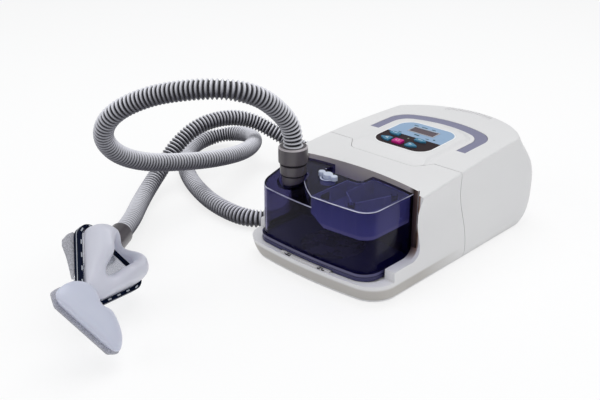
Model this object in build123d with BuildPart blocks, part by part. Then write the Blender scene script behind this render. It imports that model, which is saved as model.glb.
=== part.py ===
"""Positive airway pressure machine with a docked humidifier, a breathing hose and a nasal mask.

Frame: millimetres, +X to the right of someone facing the water chamber, +Y towards the blower
unit's back, +Z up. The origin is on the table, midway between the machine's left and right
sides, under the seam between the humidifier (front half) and the blower unit (back half).
"""
from build123d import *
import math
import os

os.makedirs("parts", exist_ok=True)

# ---- machine envelope ------------------------------------------------------------------
body_width = 194.0          # widest, just above the lower curve of the side walls
HALF = body_width / 2
front_y = -149.0            # middle of the tray's bowed front
rear_y = 197.0              # middle of the bowed back, at its widest level
front_bow = 8.0             # how far the tray's corners stand behind its middle
rear_bow = 46.0             # how far the back's corners stand in front of its middle
front_corner_r = 30.0
rear_corner_r = 14.0
crown_front_z = 93.4        # roof height over the tray's front, if it reached that far
crown_mid_z = 111.0         # roof height at crown_mid_y
crown_mid_y = 24.0
crown_rear_z = 111.8        # roof height at the back edge
top_edge_r = 2.5
base_z = 2.0                # underside of both units, standing on their feet
floor_thick = 2.6
floor_gap = 0.3             # line between a floor plate and the shell above it
shell_wall = 2.5

# level, how far the side, front and back stand in from their widest, widening towards the back
wall_profile = (
    (0.0, 5.7, 8.5, 20.0, 0.0),
    (6.0, 2.6, 5.6, 13.0, 0.0),
    (14.0, 0.8, 2.6, 7.0, 0.0),
    (27.0, 0.0, 0.0, 2.0, 0.0),
    (45.0, 1.4, 0.0, 0.0, 0.008),
    (80.0, 5.6, 0.0, 5.5, 0.024),
    (125.0, 11.2, 0.0, 15.5, 0.040),
)

# ---- seam between the two units ----------------------------------------------------------
seam_top_y = 0.0            # seam line where it meets the roof
seam_lean = 0.15            # how far the seam runs back for each millimetre down
seam_gap = 0.8
roof_at_seam_z = 109.5
nose_reach = 18.5           # the blower unit's cover reaches this far over the humidifier
nose_half_front = 44.0
nose_half_back = 58.0
nose_corner_r = 10.0
nose_depth = 9.0
dock_wall = 3.0

# ---- humidifier --------------------------------------------------------------------------
side_wall = 13.0            # from the bay to the widest part of the side
bay_half = HALF - side_wall
bay_back_mid_y = -53.0      # the bay's back wall, which stands further forward at the sides
bay_back_bow = 9.3
side_front_y = -69.5        # front edge of the side walls
side_front_r = 15.0
side_bevel_in = 6.0         # bevel on the side walls' front edges, across and back
side_bevel_back = 9.0
arm_front_y = -114.0        # the side walls' low arms end here
arm_top_z = 34.5
rim_top_z = 23.5            # tray rim around the chamber
rim_wall = 6.0
tray_floor_z = 22.0
tray_floor_thick = 3.0
rail_x = 60.0               # two rails on the tray floor carry the chamber
rail_width = 4.0
bulkhead = 4.0

# ---- water chamber -----------------------------------------------------------------------
chamber_half = bay_half - 6.0
chamber_front_y = -139.8
chamber_front_bow = 5.0
chamber_corner_r = 18.0
chamber_wall = 2.2
chamber_top_z = 100.0
chamber_edge_r = 1.6
chamber_bay_gap = 2.0
chamber_lift_gap = 0.3      # chamber's underside over the tray rim
flange_out = 2.6
flange_split_z = 28.0
gasket_height = 1.0
shell_flange_top_z = 32.0
deck_front_z = 87.6         # low deck around the hose port, where it meets the chamber's front
deck_slope = 0.28
step_front = (7.0, -141.0)  # the step from the low deck up to the lid's main level
step_mid = (-25.0, -118.0)
step_back = (-62.0, -68.0)
recess_left_x = -35.0       # finger recess in the chamber's back edge
recess_right_x = 18.0
recess_front_y = -76.5
recess_floor_z = 86.0
recess_corner_r = 7.0
port_x = -50.0
port_y = -109.0
port_seat_z = 90.0
port_recess_r = 15.5
inlet_x = 34.0              # air way from the blower into the chamber
inlet_z = 50.0
inlet_r = 8.0
duct_wall = 2.0
duct_clearance = 0.2
seal_gap = 0.4
fill_x = -15.5              # filler cap on the lid
fill_y = -91.0
fill_r = 9.0
fill_clearance = 0.3
fill_plug_length = 7.0
fill_knob_height = 5.0
fill_lobe_reach = 9.6
fill_lobe_r = 3.9
latch_half = 35.0
latch_top_z = 25.2
latch_low_z = 20.5
latch_skin = 3.0            # the tray's front wall in front of the latch
latch_thick = 3.2
latch_travel = 2.4
latch_gap = 0.4
latch_slot_x = 23.0
channel_half = 37.5         # channel under the chamber that clears the latch and the heater
channel_z = 25.6
heater_r = 34.0
heater_y = -98.0
heater_gap = 0.3
heater_ledge = 3.0
heater_top_z = 25.3
baffle_left_x = 2.0         # air tray that hangs from the chamber's lid on its right half
baffle_inset = 3.2
baffle_floor_z = 68.0
baffle_wall = 1.6
baffle_nose_z = 80.0
baffle_run = 17.0           # its floor rises to the nose over this length
partition_at = (((22.0, -74.0), (22.0, -104.0)), ((22.0, -104.0), (43.0, -120.5)),
                ((47.0, -119.5), (62.0, -80.0)))
boss_at = ((chamber_half - 33.0, -123.5), (chamber_half - 15.0, -75.6))
boss_r = 3.6
screw_r = 1.3
screw_head_r = 2.8

# ---- hose ports and cuffs ----------------------------------------------------------------
hose_od = 22.0
hose_wall = 1.4
spigot_r = 11.0
spigot_clearance = 0.06
spigot_wall = 1.6
spigot_length = 12.0
adapter_low_r = 12.5
adapter_low_top_z = 101.6
adapter_high_r = 14.4
adapter_top_z = 114.5
seat_gap = 0.3
cuff_r = 16.1
cuff_length = 18.7

# ---- control panel -----------------------------------------------------------------------
panel_y = 43.0
panel_half_x = 39.5
panel_half_y = 38.0
panel_corner_r = 19.0
island_rise = 3.4           # the panel's surround stands this far over the roof's crown
island_margin = 1.0         # its foot stays this far inside the band
island_spread = 10.0        # how far its foot spreads past its top
island_top_front_y = 2.5
island_foot_front_y = -18.0
panel_thick = 1.6
panel_clearance = 0.2
panel_ledge = 4.0
button_height = 2.0         # top of a button over the fascia
button_travel = 0.8
button_gap = 0.35
flange_thick = 0.8          # a button's flange, caught under the fascia
flange_reach = 1.2
lcd_half_x = 17.0
lcd_half_y = 6.6
lcd_y = 60.0
board_drop = 9.3            # control board below the fascia's top
board_thick = 1.6

# ---- band around the panel ---------------------------------------------------------------
band_half_out = 67.5
band_half_in = 56.0
band_end_y = 45.0
band_back_out = 120.0
band_back_in = 104.5
band_bow_out = 20.0
band_bow_in = 14.0
band_corner_out = 30.0
band_corner_in = 24.0
band_top_inset = 0.4        # band's top under the roof's crown
band_thick = 1.8
band_clearance = 0.4
groove_inset = 2.6
deck_inset = 5.4            # the roof is this thick around and under the band and the panel

# ---- vents -------------------------------------------------------------------------------
rib_count = 16
rib_mid_x = -5.0
rib_pitch = 4.0
rib_width = 1.6
rib_length = 15.0
rib_depth = 1.2
rib_back_y = 178.5
rib_bow = 0.0085

# ---- inside the blower unit --------------------------------------------------------------
blower_x = -8.0
blower_y = 95.0
blower_r = 43.0
blower_low_z = 24.0
blower_high_z = 62.0
blower_wall = 2.4
impeller_r = 36.0
impeller_low_z = 49.0
impeller_high_z = 58.0
impeller_blades = 18
motor_r = 22.0
shaft_r = 2.0
shaft_clearance = 0.06
air_in_r = 15.0
mount_r = 5.0
main_board_x = HALF - 29.0
main_board_y = 85.0
main_board_z = 12.0

# ---- back of the blower unit -------------------------------------------------------------
cap_x = -52.0
cap_z = 50.0
cap_half_x = 19.6
cap_half_z = 19.6
cap_front_y = 154.0
cap_gap = 0.4
filter_thick = 8.0
socket_x = 54.0
socket_z = 30.0
socket_pocket_half = 10.0
socket_seat_y = 176.0
socket_outer_r = 6.0
socket_bore_r = 3.2
socket_bore_depth = 9.0

# ---- feet and case screws ----------------------------------------------------------------
foot_r = 7.0
case_boss_r = 4.5
case_boss_top_z = 28.0
case_screw_r = 1.5
case_head_r = 3.0
case_head_thick = 1.6
screw_x = HALF - 8.5
rear_screw_x = HALF - 37.0
front_foot_x = HALF - 31.0
mid_foot_x = HALF - 25.0
rear_foot_x = HALF - 51.0
humidifier_screw_at = (
    (-screw_x, -92.0), (screw_x, -92.0), (-screw_x, -14.0), (screw_x, -14.0),
)
main_screw_at = ((-screw_x, 34.0), (screw_x, 34.0), (-rear_screw_x, 163.0), (rear_screw_x, 163.0))
humidifier_foot_at = (
    (-front_foot_x, -116.0), (front_foot_x, -116.0), (-mid_foot_x, -22.0), (mid_foot_x, -22.0), (0.0, 0.0),
)
main_foot_at = ((-mid_foot_x, 42.0), (mid_foot_x, 42.0), (-rear_foot_x, 150.0), (rear_foot_x, 150.0))



def save(piece, name):
    """Label one finished piece and write its file."""
    piece.label = name
    export_step(piece, f"parts/{name}.step")


def seam_y(z):
    """Where the seam stands at a height."""
    return seam_top_y + (roof_at_seam_z - z) * seam_lean


def outline(inset, side=0.0, front=0.0, rear=0.0, widen=0.0):
    """Closed plan outline of the machine, moved in all round by inset."""
    near = front_y + front + inset
    far = rear_y - rear - inset
    near_half = HALF - side - inset + widen * near
    far_half = HALF - side - inset + widen * far
    with BuildSketch() as plan:
        with BuildLine():
            ThreePointArc((-near_half, near + front_bow), (0, near), (near_half, near + front_bow))
            Line((near_half, near + front_bow), (far_half, far - rear_bow))
            ThreePointArc((far_half, far - rear_bow), (0, far), (-far_half, far - rear_bow))
            Line((-far_half, far - rear_bow), (-near_half, near + front_bow))
        make_face()
        fillet(plan.vertices().group_by(Axis.Y)[0], front_corner_r - inset)
        fillet(plan.vertices().group_by(Axis.Y)[-1], rear_corner_r - inset)
    return plan.sketch


def crown_side(inset):
    """Side view of everything under the roof's long shallow crown, less inset."""
    with BuildSketch(Plane.YZ) as side:
        with BuildLine():
            ThreePointArc(
                (front_y, crown_front_z - inset),
                (crown_mid_y, crown_mid_z - inset),
                (rear_y, crown_rear_z - inset),
            )
            Polyline(
                (rear_y, crown_rear_z - inset),
                (rear_y, base_z),
                (front_y, base_z),
                (front_y, crown_front_z - inset),
            )
        make_face()
    return side.sketch


def machine_form(inset):
    """The whole machine as one closed form, its walls and roof moved in by inset."""
    with BuildPart() as form:
        for level, side, front, rear, widen in wall_profile:
            with BuildSketch(Plane.XY.offset(level)):
                add(outline(inset, side, front, rear, widen))
        loft()
        extrude(crown_side(inset), amount=body_width, both=True, mode=Mode.INTERSECT)
        if inset == 0:
            roof = form.faces().sort_by(Axis.Z)[-1]
            fillet(roof.edges(), top_edge_r)
    return form.part


def side_slab(points, radius=0.0, corners=()):
    """A slab through the whole width, drawn in side view as (y, z) points."""
    with BuildPart() as slab:
        with BuildSketch(Plane.YZ) as side:
            with BuildLine():
                Polyline(*points, close=True)
            make_face()
            if radius:
                picked = [
                    v for v in side.vertices() for c in corners if math.hypot(v.X - c[0], v.Y - c[1]) < 1
                ]
                fillet(picked, radius)
        extrude(amount=body_width, both=True)
    return slab.part


def level_slab(low, high):
    """Everything between two heights."""
    return side_slab(((front_y - 50, low), (rear_y + 50, low), (rear_y + 50, high), (front_y - 50, high)))


def seam_slab(offset, end_y):
    """Everything between the leaning seam plane, offset backwards, and end_y."""
    low, high = -10.0, 150.0
    return side_slab((
        (seam_y(high) + offset, high), (seam_y(low) + offset, low), (end_y, low), (end_y, high),
    ))


def nose_block(grow, depth):
    """The blower unit's nose over the humidifier, from the roof down by depth."""
    floor = roof_at_seam_z - depth
    back = seam_y(floor) + 1
    with BuildPart() as block:
        with BuildSketch(Plane.XY.offset(floor)) as plan:
            with BuildLine():
                Polyline(
                    (-nose_half_back - grow, back),
                    (-nose_half_back - grow, seam_top_y - grow),
                    (-nose_half_front - grow, seam_top_y - nose_reach - grow),
                    (nose_half_front + grow, seam_top_y - nose_reach - grow),
                    (nose_half_back + grow, seam_top_y - grow),
                    (nose_half_back + grow, back),
                    close=True,
                )
            make_face()
            fillet(plan.vertices().group_by(Axis.Y)[0], nose_corner_r + grow)
        extrude(amount=30)
    return block.part


outer_form = machine_form(0)
inner_form = machine_form(shell_wall)
front_limit = front_y - 50
rear_limit = rear_y + 50


# ======================= humidifier (front half) ============================================
shell_low_z = base_z + floor_thick + floor_gap


def bay_back_y(x):
    """The bay's bowed back wall at one place across the width."""
    return bay_back_mid_y - bay_back_bow * (x / bay_half) ** 2


def bay_plan(half, near, bow, back_gap, corner, grow=0.0):
    """Plan of the bay, or of what stands in it, with the bay's bowed back."""
    wide = HALF + 10
    side_back = bay_back_y(wide) - back_gap
    with BuildSketch() as plan:
        with BuildLine():
            ThreePointArc((-half, near + bow), (0, near), (half, near + bow))
            Polyline((half, near + bow), (half, seam_top_y), (-half, seam_top_y), (-half, near + bow))
        make_face()
        fillet(plan.vertices().group_by(Axis.Y)[0], corner + grow)
        with BuildSketch(mode=Mode.INTERSECT):
            with BuildLine():
                ThreePointArc((-wide, side_back), (0, bay_back_mid_y - back_gap), (wide, side_back))
                Polyline(
                    (wide, side_back), (wide, front_limit), (-wide, front_limit), (-wide, side_back),
                )
            make_face()
    return plan.sketch


def bay_block(low, high, half=bay_half, near=front_y + rim_wall, bow=front_bow, back_gap=0.0,
              corner=chamber_corner_r + rim_wall, grow=0.0):
    """The bay's plan, or one inside it, as a block between two heights."""
    with BuildPart() as block:
        with BuildSketch(Plane.XY.offset(low)):
            add(bay_plan(half, near, bow, back_gap, corner, grow))
        extrude(amount=high - low)
    return block.part


def floor_plate(limits, screws):
    """A unit's bottom plate, with countersunk holes for its screws."""
    with BuildPart() as plate:
        add(outer_form)
        add(limits, mode=Mode.INTERSECT)
        add(level_slab(base_z, base_z + floor_thick), mode=Mode.INTERSECT)
        with Locations(*[(x, y, base_z) for x, y in screws]):
            Cylinder(case_screw_r + 0.3, 20, mode=Mode.SUBTRACT)
            Cylinder(case_head_r + 0.3, 2 * case_head_thick, mode=Mode.SUBTRACT)
    return plate.part


def row_of(places, low, high, radius):
    """Equal upright cylinders at several places."""
    with BuildPart() as row:
        with Locations(*[(x, y, low) for x, y in places]):
            Cylinder(radius, high - low, align=(Align.CENTER, Align.CENTER, Align.MIN))
    return row.part


def case_screws(places):
    """Pan-headed screws that go up into a unit's bosses."""
    with BuildPart() as screws:
        with Locations(*[(x, y, base_z + 0.1) for x, y in places]):
            Cylinder(case_head_r, case_head_thick - 0.1, align=(Align.CENTER, Align.CENTER, Align.MIN))
            Cylinder(case_screw_r, 16, align=(Align.CENTER, Align.CENTER, Align.MIN))
        with Locations(*[(x, y, base_z + 0.1) for x, y in places]):
            Box(0.8, 3.6, 1.4, mode=Mode.SUBTRACT)
    return screws.part


humidifier_side = seam_slab(-seam_gap / 2, front_limit)
main_side = seam_slab(seam_gap / 2, rear_limit)

with BuildPart() as humidifier_housing:
    add(outer_form)
    add(humidifier_side, mode=Mode.INTERSECT)
    add(level_slab(shell_low_z, 200), mode=Mode.INTERSECT)
    # the side walls stop short of the tray's front, above low arms that run on to a step
    add(side_slab(
        (
            (front_limit, rim_top_z), (arm_front_y, rim_top_z), (arm_front_y, arm_top_z),
            (side_front_y, arm_top_z), (side_front_y, 200), (front_limit, 200),
        ),
        radius=side_front_r, corners=((side_front_y, arm_top_z),),
    ), mode=Mode.SUBTRACT)
    add(bay_block(tray_floor_z, 200), mode=Mode.SUBTRACT)
    # bevels that lead from the side walls' front edges into the bay
    with BuildSketch(Plane.XY.offset(arm_top_z)) as bevels:
        with BuildLine():
            Polyline(
                (bay_half - 1, side_front_y - 1), (bay_half + side_bevel_in, side_front_y - 1),
                (bay_half + side_bevel_in, side_front_y), (bay_half, side_front_y + side_bevel_back),
                (bay_half - 1, side_front_y + side_bevel_back), close=True,
            )
        make_face()
        mirror(about=Plane.YZ)
    extrude(amount=100, mode=Mode.SUBTRACT)
    # rails under the chamber
    with Locations(*[(x, heater_y, tray_floor_z) for x in (-rail_x, rail_x)]):
        Box(rail_width, 2 * heater_r, rim_top_z - tray_floor_z, align=(Align.CENTER, Align.CENTER, Align.MIN))
    # hollow under the tray's floor and behind the bay's back wall
    with BuildPart(mode=Mode.SUBTRACT):
        add(inner_form)
        add(side_slab((
            (front_limit, 0), (seam_y(0) - dock_wall, 0), (seam_y(90) - dock_wall, 90),
            (seam_top_y - nose_reach - 5, 90), (seam_top_y - nose_reach - 5, 130),
            (bay_back_mid_y + bulkhead, 130),
            (bay_back_mid_y + bulkhead, tray_floor_z - tray_floor_thick),
            (front_limit, tray_floor_z - tray_floor_thick),
        )), mode=Mode.INTERSECT)
    add(row_of(humidifier_screw_at, shell_low_z, case_boss_top_z, case_boss_r))
    add(row_of(humidifier_screw_at, base_z, base_z + 18, case_screw_r + 0.1), mode=Mode.SUBTRACT)
    add(nose_block(seam_gap / 2, nose_depth + seam_gap), mode=Mode.SUBTRACT)
    # round opening for the heater, on a ledge
    with Locations((0, heater_y, tray_floor_z - 1.5)):
        Cylinder(heater_r + heater_gap, 10, align=(Align.CENTER, Align.CENTER, Align.MIN),
                 mode=Mode.SUBTRACT)
    with Locations((0, heater_y, 0)):
        Cylinder(heater_r - heater_ledge, 60, mode=Mode.SUBTRACT)
    # pocket for the latch in the middle of the rim
    with BuildPart(mode=Mode.SUBTRACT):
        with BuildSketch(Plane.XY.offset(latch_low_z - latch_travel - latch_gap)):
            add(outline(latch_skin - latch_gap))
            add(outline(latch_skin + latch_thick + latch_gap), mode=Mode.SUBTRACT)
            with Locations((0, front_y)):
                Rectangle(2 * (latch_half + latch_gap), 60, mode=Mode.INTERSECT)
        extrude(amount=40)
    # air way from the dock to the chamber
    with BuildSketch(Plane.XZ.offset(-bay_back_mid_y + 20)):
        with Locations((inlet_x, inlet_z)):
            Circle(inlet_r + duct_wall + duct_clearance)
    extrude(amount=-120, mode=Mode.SUBTRACT)
save(humidifier_housing.part, "humidifier_housing")

save(floor_plate(humidifier_side, humidifier_screw_at), "humidifier_floor")
save(row_of(humidifier_foot_at, 0, base_z, foot_r), "humidifier_feet")
save(case_screws(humidifier_screw_at), "humidifier_screws")

with BuildPart() as heater_plate:
    with Locations((0, heater_y, tray_floor_z - 1.5)):
        Cylinder(heater_r, heater_top_z - tray_floor_z + 1.5, align=(Align.CENTER, Align.CENTER, Align.MIN))
    fillet(heater_plate.faces().sort_by(Axis.Z)[-1].edges(), 1.0)
save(heater_plate.part, "heater_plate")

with BuildPart() as heater_element:
    with Locations((0, heater_y, tray_floor_z - 1.5)):
        Cylinder(heater_r - heater_ledge - 3, 3, align=(Align.CENTER, Align.CENTER, Align.MAX))
        Cylinder(9, 3, align=(Align.CENTER, Align.CENTER, Align.MAX), mode=Mode.SUBTRACT)
    with Locations((0, heater_y + 18, tray_floor_z - 4.5)):
        Box(10, 6, 4, align=(Align.CENTER, Align.CENTER, Align.MAX))
save(heater_element.part, "heater_element")

with BuildPart() as air_inlet_duct:
    with BuildSketch(Plane.XZ.offset(-bay_back_mid_y + 20)):
        with Locations((inlet_x, inlet_z)):
            Circle(inlet_r + duct_wall)
            Circle(inlet_r, mode=Mode.SUBTRACT)
    extrude(amount=-120)
    add(humidifier_side, mode=Mode.INTERSECT)
    add(bay_block(tray_floor_z, 200), mode=Mode.SUBTRACT)
save(air_inlet_duct.part, "air_inlet_duct")

with BuildPart() as air_inlet_seal:
    with BuildSketch(Plane.XZ.offset(-bay_back_mid_y + 20)):
        with Locations((inlet_x, inlet_z)):
            Circle(inlet_r + duct_wall + 2.5)
            Circle(inlet_r, mode=Mode.SUBTRACT)
    extrude(amount=-60)
    add(bay_block(tray_floor_z, 200), mode=Mode.INTERSECT)
    add(bay_block(tray_floor_z, 200, back_gap=chamber_bay_gap - seal_gap), mode=Mode.SUBTRACT)
save(air_inlet_seal.part, "air_inlet_seal")

with BuildPart() as chamber_latch:
    with BuildSketch(Plane.XY.offset(latch_low_z)):
        add(outline(latch_skin))
        add(outline(latch_skin + latch_thick), mode=Mode.SUBTRACT)
        with Locations((0, front_y)):
            Rectangle(2 * latch_half, 60, mode=Mode.INTERSECT)
    extrude(amount=latch_top_z - latch_low_z)
    with BuildSketch(Plane.XY.offset(latch_top_z)):
        with Locations(
            (-latch_slot_x, front_y + latch_skin + latch_thick / 2 + 0.45),
            (latch_slot_x, front_y + latch_skin + latch_thick / 2 + 0.45),
        ):
            SlotOverall(6.5, 1.7)
    extrude(amount=-2, mode=Mode.SUBTRACT)
save(chamber_latch.part, "chamber_latch")


# ======================= water chamber ======================================================
def chamber_block(low, high, grow=0.0):
    """The chamber's plan, grown or shrunk all round, as a block between two heights."""
    return bay_block(
        low, high, half=chamber_half + grow, near=chamber_front_y - grow, bow=chamber_front_bow,
        back_gap=chamber_bay_gap - min(grow, 0), corner=chamber_corner_r, grow=grow,
    )


def low_deck(drop):
    """Everything over the sloped deck around the hose port, lowered and widened by drop."""
    front = chamber_front_y - 10
    back = bay_back_mid_y
    with BuildPart() as block:
        with BuildSketch(Plane.XY.offset(70)) as left:
            with BuildLine():
                ThreePointArc(
                    (step_front[0] + drop, step_front[1]),
                    (step_mid[0] + drop, step_mid[1]),
                    (step_back[0] + drop, step_back[1]),
                )
                Polyline(
                    (step_back[0] + drop, step_back[1]), (-chamber_half - 30, step_back[1]),
                    (-chamber_half - 30, front), (step_front[0] + drop, front),
                    (step_front[0] + drop, step_front[1]),
                )
            make_face()
        extrude(amount=60)
        low_z = deck_front_z - drop
        add(side_slab((
            (front, low_z + deck_slope * (front - chamber_front_y)),
            (back, low_z + deck_slope * (back - chamber_front_y)),
            (back, 140), (front, 140),
        )), mode=Mode.INTERSECT)
    return block.part


def finger_recess(grow):
    """The recess in the back of the lid that uncovers the roof's edge for the fingers."""
    with BuildPart() as block:
        with BuildSketch(Plane.XY.offset(recess_floor_z - grow)) as plan:
            with Locations(((recess_left_x + recess_right_x) / 2, bay_back_mid_y)):
                Rectangle(
                    recess_right_x - recess_left_x + 2 * grow,
                    2 * (bay_back_mid_y - recess_front_y + grow),
                )
            fillet(plan.vertices().group_by(Axis.Y)[0], recess_corner_r + grow)
        extrude(amount=60)
    return block.part


wall = chamber_wall
base_bottom_z = rim_top_z + chamber_lift_gap
shell_low = flange_split_z + gasket_height

with BuildPart() as chamber_shell:
    add(chamber_block(shell_low, chamber_top_z))
    add(low_deck(0), mode=Mode.SUBTRACT)
    add(finger_recess(0), mode=Mode.SUBTRACT)
    with BuildPart(mode=Mode.SUBTRACT):
        add(chamber_block(shell_low, chamber_top_z - wall, -wall))
        add(low_deck(wall), mode=Mode.SUBTRACT)
        add(finger_recess(wall), mode=Mode.SUBTRACT)
    # flange at the foot
    add(chamber_block(shell_low, shell_flange_top_z, flange_out))
    add(chamber_block(shell_low - 1, shell_flange_top_z + 1, -wall), mode=Mode.SUBTRACT)
    # sunk seat for the outlet adapter, with its well
    with Locations((port_x, port_y, port_seat_z - wall)):
        Cylinder(port_recess_r + wall, 12, align=(Align.CENTER, Align.CENTER, Align.MIN))
    add(low_deck(0), mode=Mode.SUBTRACT)
    with Locations((port_x, port_y, port_seat_z)):
        Cylinder(port_recess_r, 30, align=(Align.CENTER, Align.CENTER, Align.MIN), mode=Mode.SUBTRACT)
    with Locations((port_x, port_y, port_seat_z)):
        Cylinder(spigot_r - spigot_wall, 12, mode=Mode.SUBTRACT)
    # filler hole in the lid
    with Locations((fill_x, fill_y, chamber_top_z)):
        Cylinder(fill_r, 12, mode=Mode.SUBTRACT)
    # inlet in the back wall
    with BuildSketch(Plane.XZ.offset(-bay_back_mid_y + 10)):
        with Locations((inlet_x, inlet_z)):
            Circle(inlet_r)
    extrude(amount=-20, mode=Mode.SUBTRACT)
    # bosses that carry the air tray
    with Locations(*[(x, y, chamber_top_z - wall) for x, y in boss_at]):
        Cylinder(boss_r, chamber_top_z - wall - baffle_floor_z - baffle_wall,
                 align=(Align.CENTER, Align.CENTER, Align.MAX))
    with Locations(*[(x, y, baffle_floor_z) for x, y in boss_at]):
        Cylinder(screw_r, 14, align=(Align.CENTER, Align.CENTER, Align.MIN), mode=Mode.SUBTRACT)
print("shell", chamber_shell.part.is_valid, len(chamber_shell.solids()), round(chamber_shell.part.volume))
save(chamber_shell.part, "chamber_shell")

with BuildPart() as chamber_gasket:
    add(chamber_block(flange_split_z, shell_low, flange_out - 0.6))
    add(chamber_block(flange_split_z - 1, shell_low + 1, -wall), mode=Mode.SUBTRACT)
save(chamber_gasket.part, "chamber_gasket")

with BuildPart() as chamber_base:
    add(chamber_block(base_bottom_z, flange_split_z, flange_out))
    with Locations((0, heater_y, 0)):
        Box(2 * channel_half, 300, 2 * channel_z, mode=Mode.SUBTRACT)
    with Locations((0, heater_y, 0)):
        Cylinder(heater_r - heater_ledge, 80, mode=Mode.SUBTRACT)
save(chamber_base.part, "chamber_base")

with BuildPart() as chamber_plate:
    with Locations((0, heater_y, channel_z)):
        Cylinder(heater_r - heater_ledge - 0.2, flange_split_z - channel_z,
                 align=(Align.CENTER, Align.CENTER, Align.MIN))
    with Locations((0, heater_y, flange_split_z)):
        Cylinder(heater_r + 1, 0.9, align=(Align.CENTER, Align.CENTER, Align.MIN))
save(chamber_plate.part, "chamber_plate")


def tray_block(inset, low):
    """Plan of the lid's air tray, shrunk by inset, from a height up to the lid."""
    with BuildPart() as block:
        add(chamber_block(low, chamber_top_z - wall, -baffle_inset - inset))
        with Locations((baffle_left_x + inset, 0, 0)):
            Box(400, 800, 400, align=(Align.MIN, Align.CENTER, Align.CENTER), mode=Mode.INTERSECT)
        add(finger_recess(wall + 0.6 + inset), mode=Mode.SUBTRACT)
    return block.part


def under_slope(rise):
    """Everything under the slope at the air tray's left end, raised by rise."""
    with BuildPart() as block:
        with BuildSketch(Plane.XZ):
            with BuildLine():
                Polyline(
                    (baffle_left_x - 5, baffle_nose_z + 5 + rise), (baffle_left_x, baffle_nose_z + rise),
                    (baffle_left_x + baffle_run, baffle_floor_z + rise),
                    (baffle_left_x + baffle_run, baffle_floor_z - 10),
                    (baffle_left_x - 5, baffle_floor_z - 10), close=True,
                )
            make_face()
        extrude(amount=body_width, both=True)
    return block.part


with BuildPart() as chamber_baffle:
    add(tray_block(0, baffle_floor_z))
    add(under_slope(0), mode=Mode.SUBTRACT)
    with BuildPart(mode=Mode.SUBTRACT):
        add(tray_block(baffle_wall, baffle_floor_z + baffle_wall))
        add(under_slope(baffle_wall * 1.2), mode=Mode.SUBTRACT)
    # partitions that turn the air round
    for start, end in partition_at:
        middle_x = (start[0] + end[0]) / 2
        middle_y = (start[1] + end[1]) / 2
        turn = math.degrees(math.atan2(end[1] - start[1], end[0] - start[0]))
        reach = math.hypot(end[0] - start[0], end[1] - start[1])
        with Locations(Location((middle_x, middle_y, baffle_floor_z + baffle_wall), (0, 0, turn))):
            Box(reach, baffle_wall, chamber_top_z - wall - baffle_floor_z - baffle_wall,
                align=(Align.CENTER, Align.CENTER, Align.MIN))
    with Locations(*[(x, y, baffle_floor_z + baffle_wall) for x, y in boss_at]):
        Cylinder(boss_r + 0.2, 60, align=(Align.CENTER, Align.CENTER, Align.MIN), mode=Mode.SUBTRACT)
    with Locations(*[(x, y, baffle_floor_z) for x, y in boss_at]):
        Cylinder(screw_r + 0.2, 10, mode=Mode.SUBTRACT)
    # outlet towards the water side
    with Locations((baffle_left_x, heater_y - 18, baffle_nose_z + 9)):
        Box(8, 16, 11, mode=Mode.SUBTRACT)
print("baffle", chamber_baffle.part.is_valid, len(chamber_baffle.solids()))
save(chamber_baffle.part, "chamber_baffle")

with BuildPart() as chamber_screws:
    with Locations(*[(x, y, baffle_floor_z) for x, y in boss_at]):
        Cylinder(screw_head_r, 1.6, align=(Align.CENTER, Align.CENTER, Align.MAX))
        Cylinder(screw_r - 0.05, 12, align=(Align.CENTER, Align.CENTER, Align.MIN))
    with Locations(*[(x, y, baffle_floor_z - 1.6) for x, y in boss_at]):
        Box(0.8, 3.4, 1.2, mode=Mode.SUBTRACT)
save(chamber_screws.part, "chamber_screws")

with BuildPart() as outlet_adapter:
    with Locations((port_x, port_y, port_seat_z)):
        Cylinder(adapter_low_r, adapter_low_top_z - port_seat_z,
                 align=(Align.CENTER, Align.CENTER, Align.MIN))
        Cylinder(spigot_r - spigot_clearance, adapter_top_z + spigot_length - port_seat_z,
                 align=(Align.CENTER, Align.CENTER, Align.MIN))
    with Locations((port_x, port_y, adapter_low_top_z)):
        Cylinder(adapter_high_r, adapter_top_z - adapter_low_top_z,
                 align=(Align.CENTER, Align.CENTER, Align.MIN))
    fillet(outlet_adapter.edges().filter_by(GeomType.CIRCLE).filter_by(
        lambda e: abs(e.radius - adapter_high_r) < 0.01), 0.8)
    with Locations((port_x, port_y, port_seat_z)):
        Cylinder(spigot_r - spigot_wall, 200, mode=Mode.SUBTRACT)
save(outlet_adapter.part, "outlet_adapter")

with BuildPart() as fill_cap:
    with Locations((fill_x, fill_y, chamber_top_z + seat_gap)):
        Cylinder(fill_r - fill_clearance, fill_plug_length,
                 align=(Align.CENTER, Align.CENTER, Align.MAX))
        Cylinder(fill_r - fill_clearance - 1.6, fill_plug_length,
                 align=(Align.CENTER, Align.CENTER, Align.MAX), mode=Mode.SUBTRACT)
    with BuildSketch(Plane.XY.offset(chamber_top_z + seat_gap)) as knob:
        with Locations((fill_x, fill_y)):
            Circle(fill_lobe_r + 1.6)
        with Locations((fill_x - fill_lobe_reach, fill_y + 1), (fill_x + fill_lobe_reach, fill_y - 1)):
            Circle(fill_lobe_r)
        with Locations((fill_x, fill_y)):
            Rectangle(2 * fill_lobe_reach, 1.2 * fill_lobe_r, rotation=-6)
        with Locations((fill_x, fill_y)):
            Circle(0.1)
    extrude(amount=fill_knob_height)
    fillet(fill_cap.faces().sort_by(Axis.Z)[-1].edges(), 1.2)
print("fill cap", fill_cap.part.is_valid, len(fill_cap.solids()))
save(fill_cap.part, "fill_cap")


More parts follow.
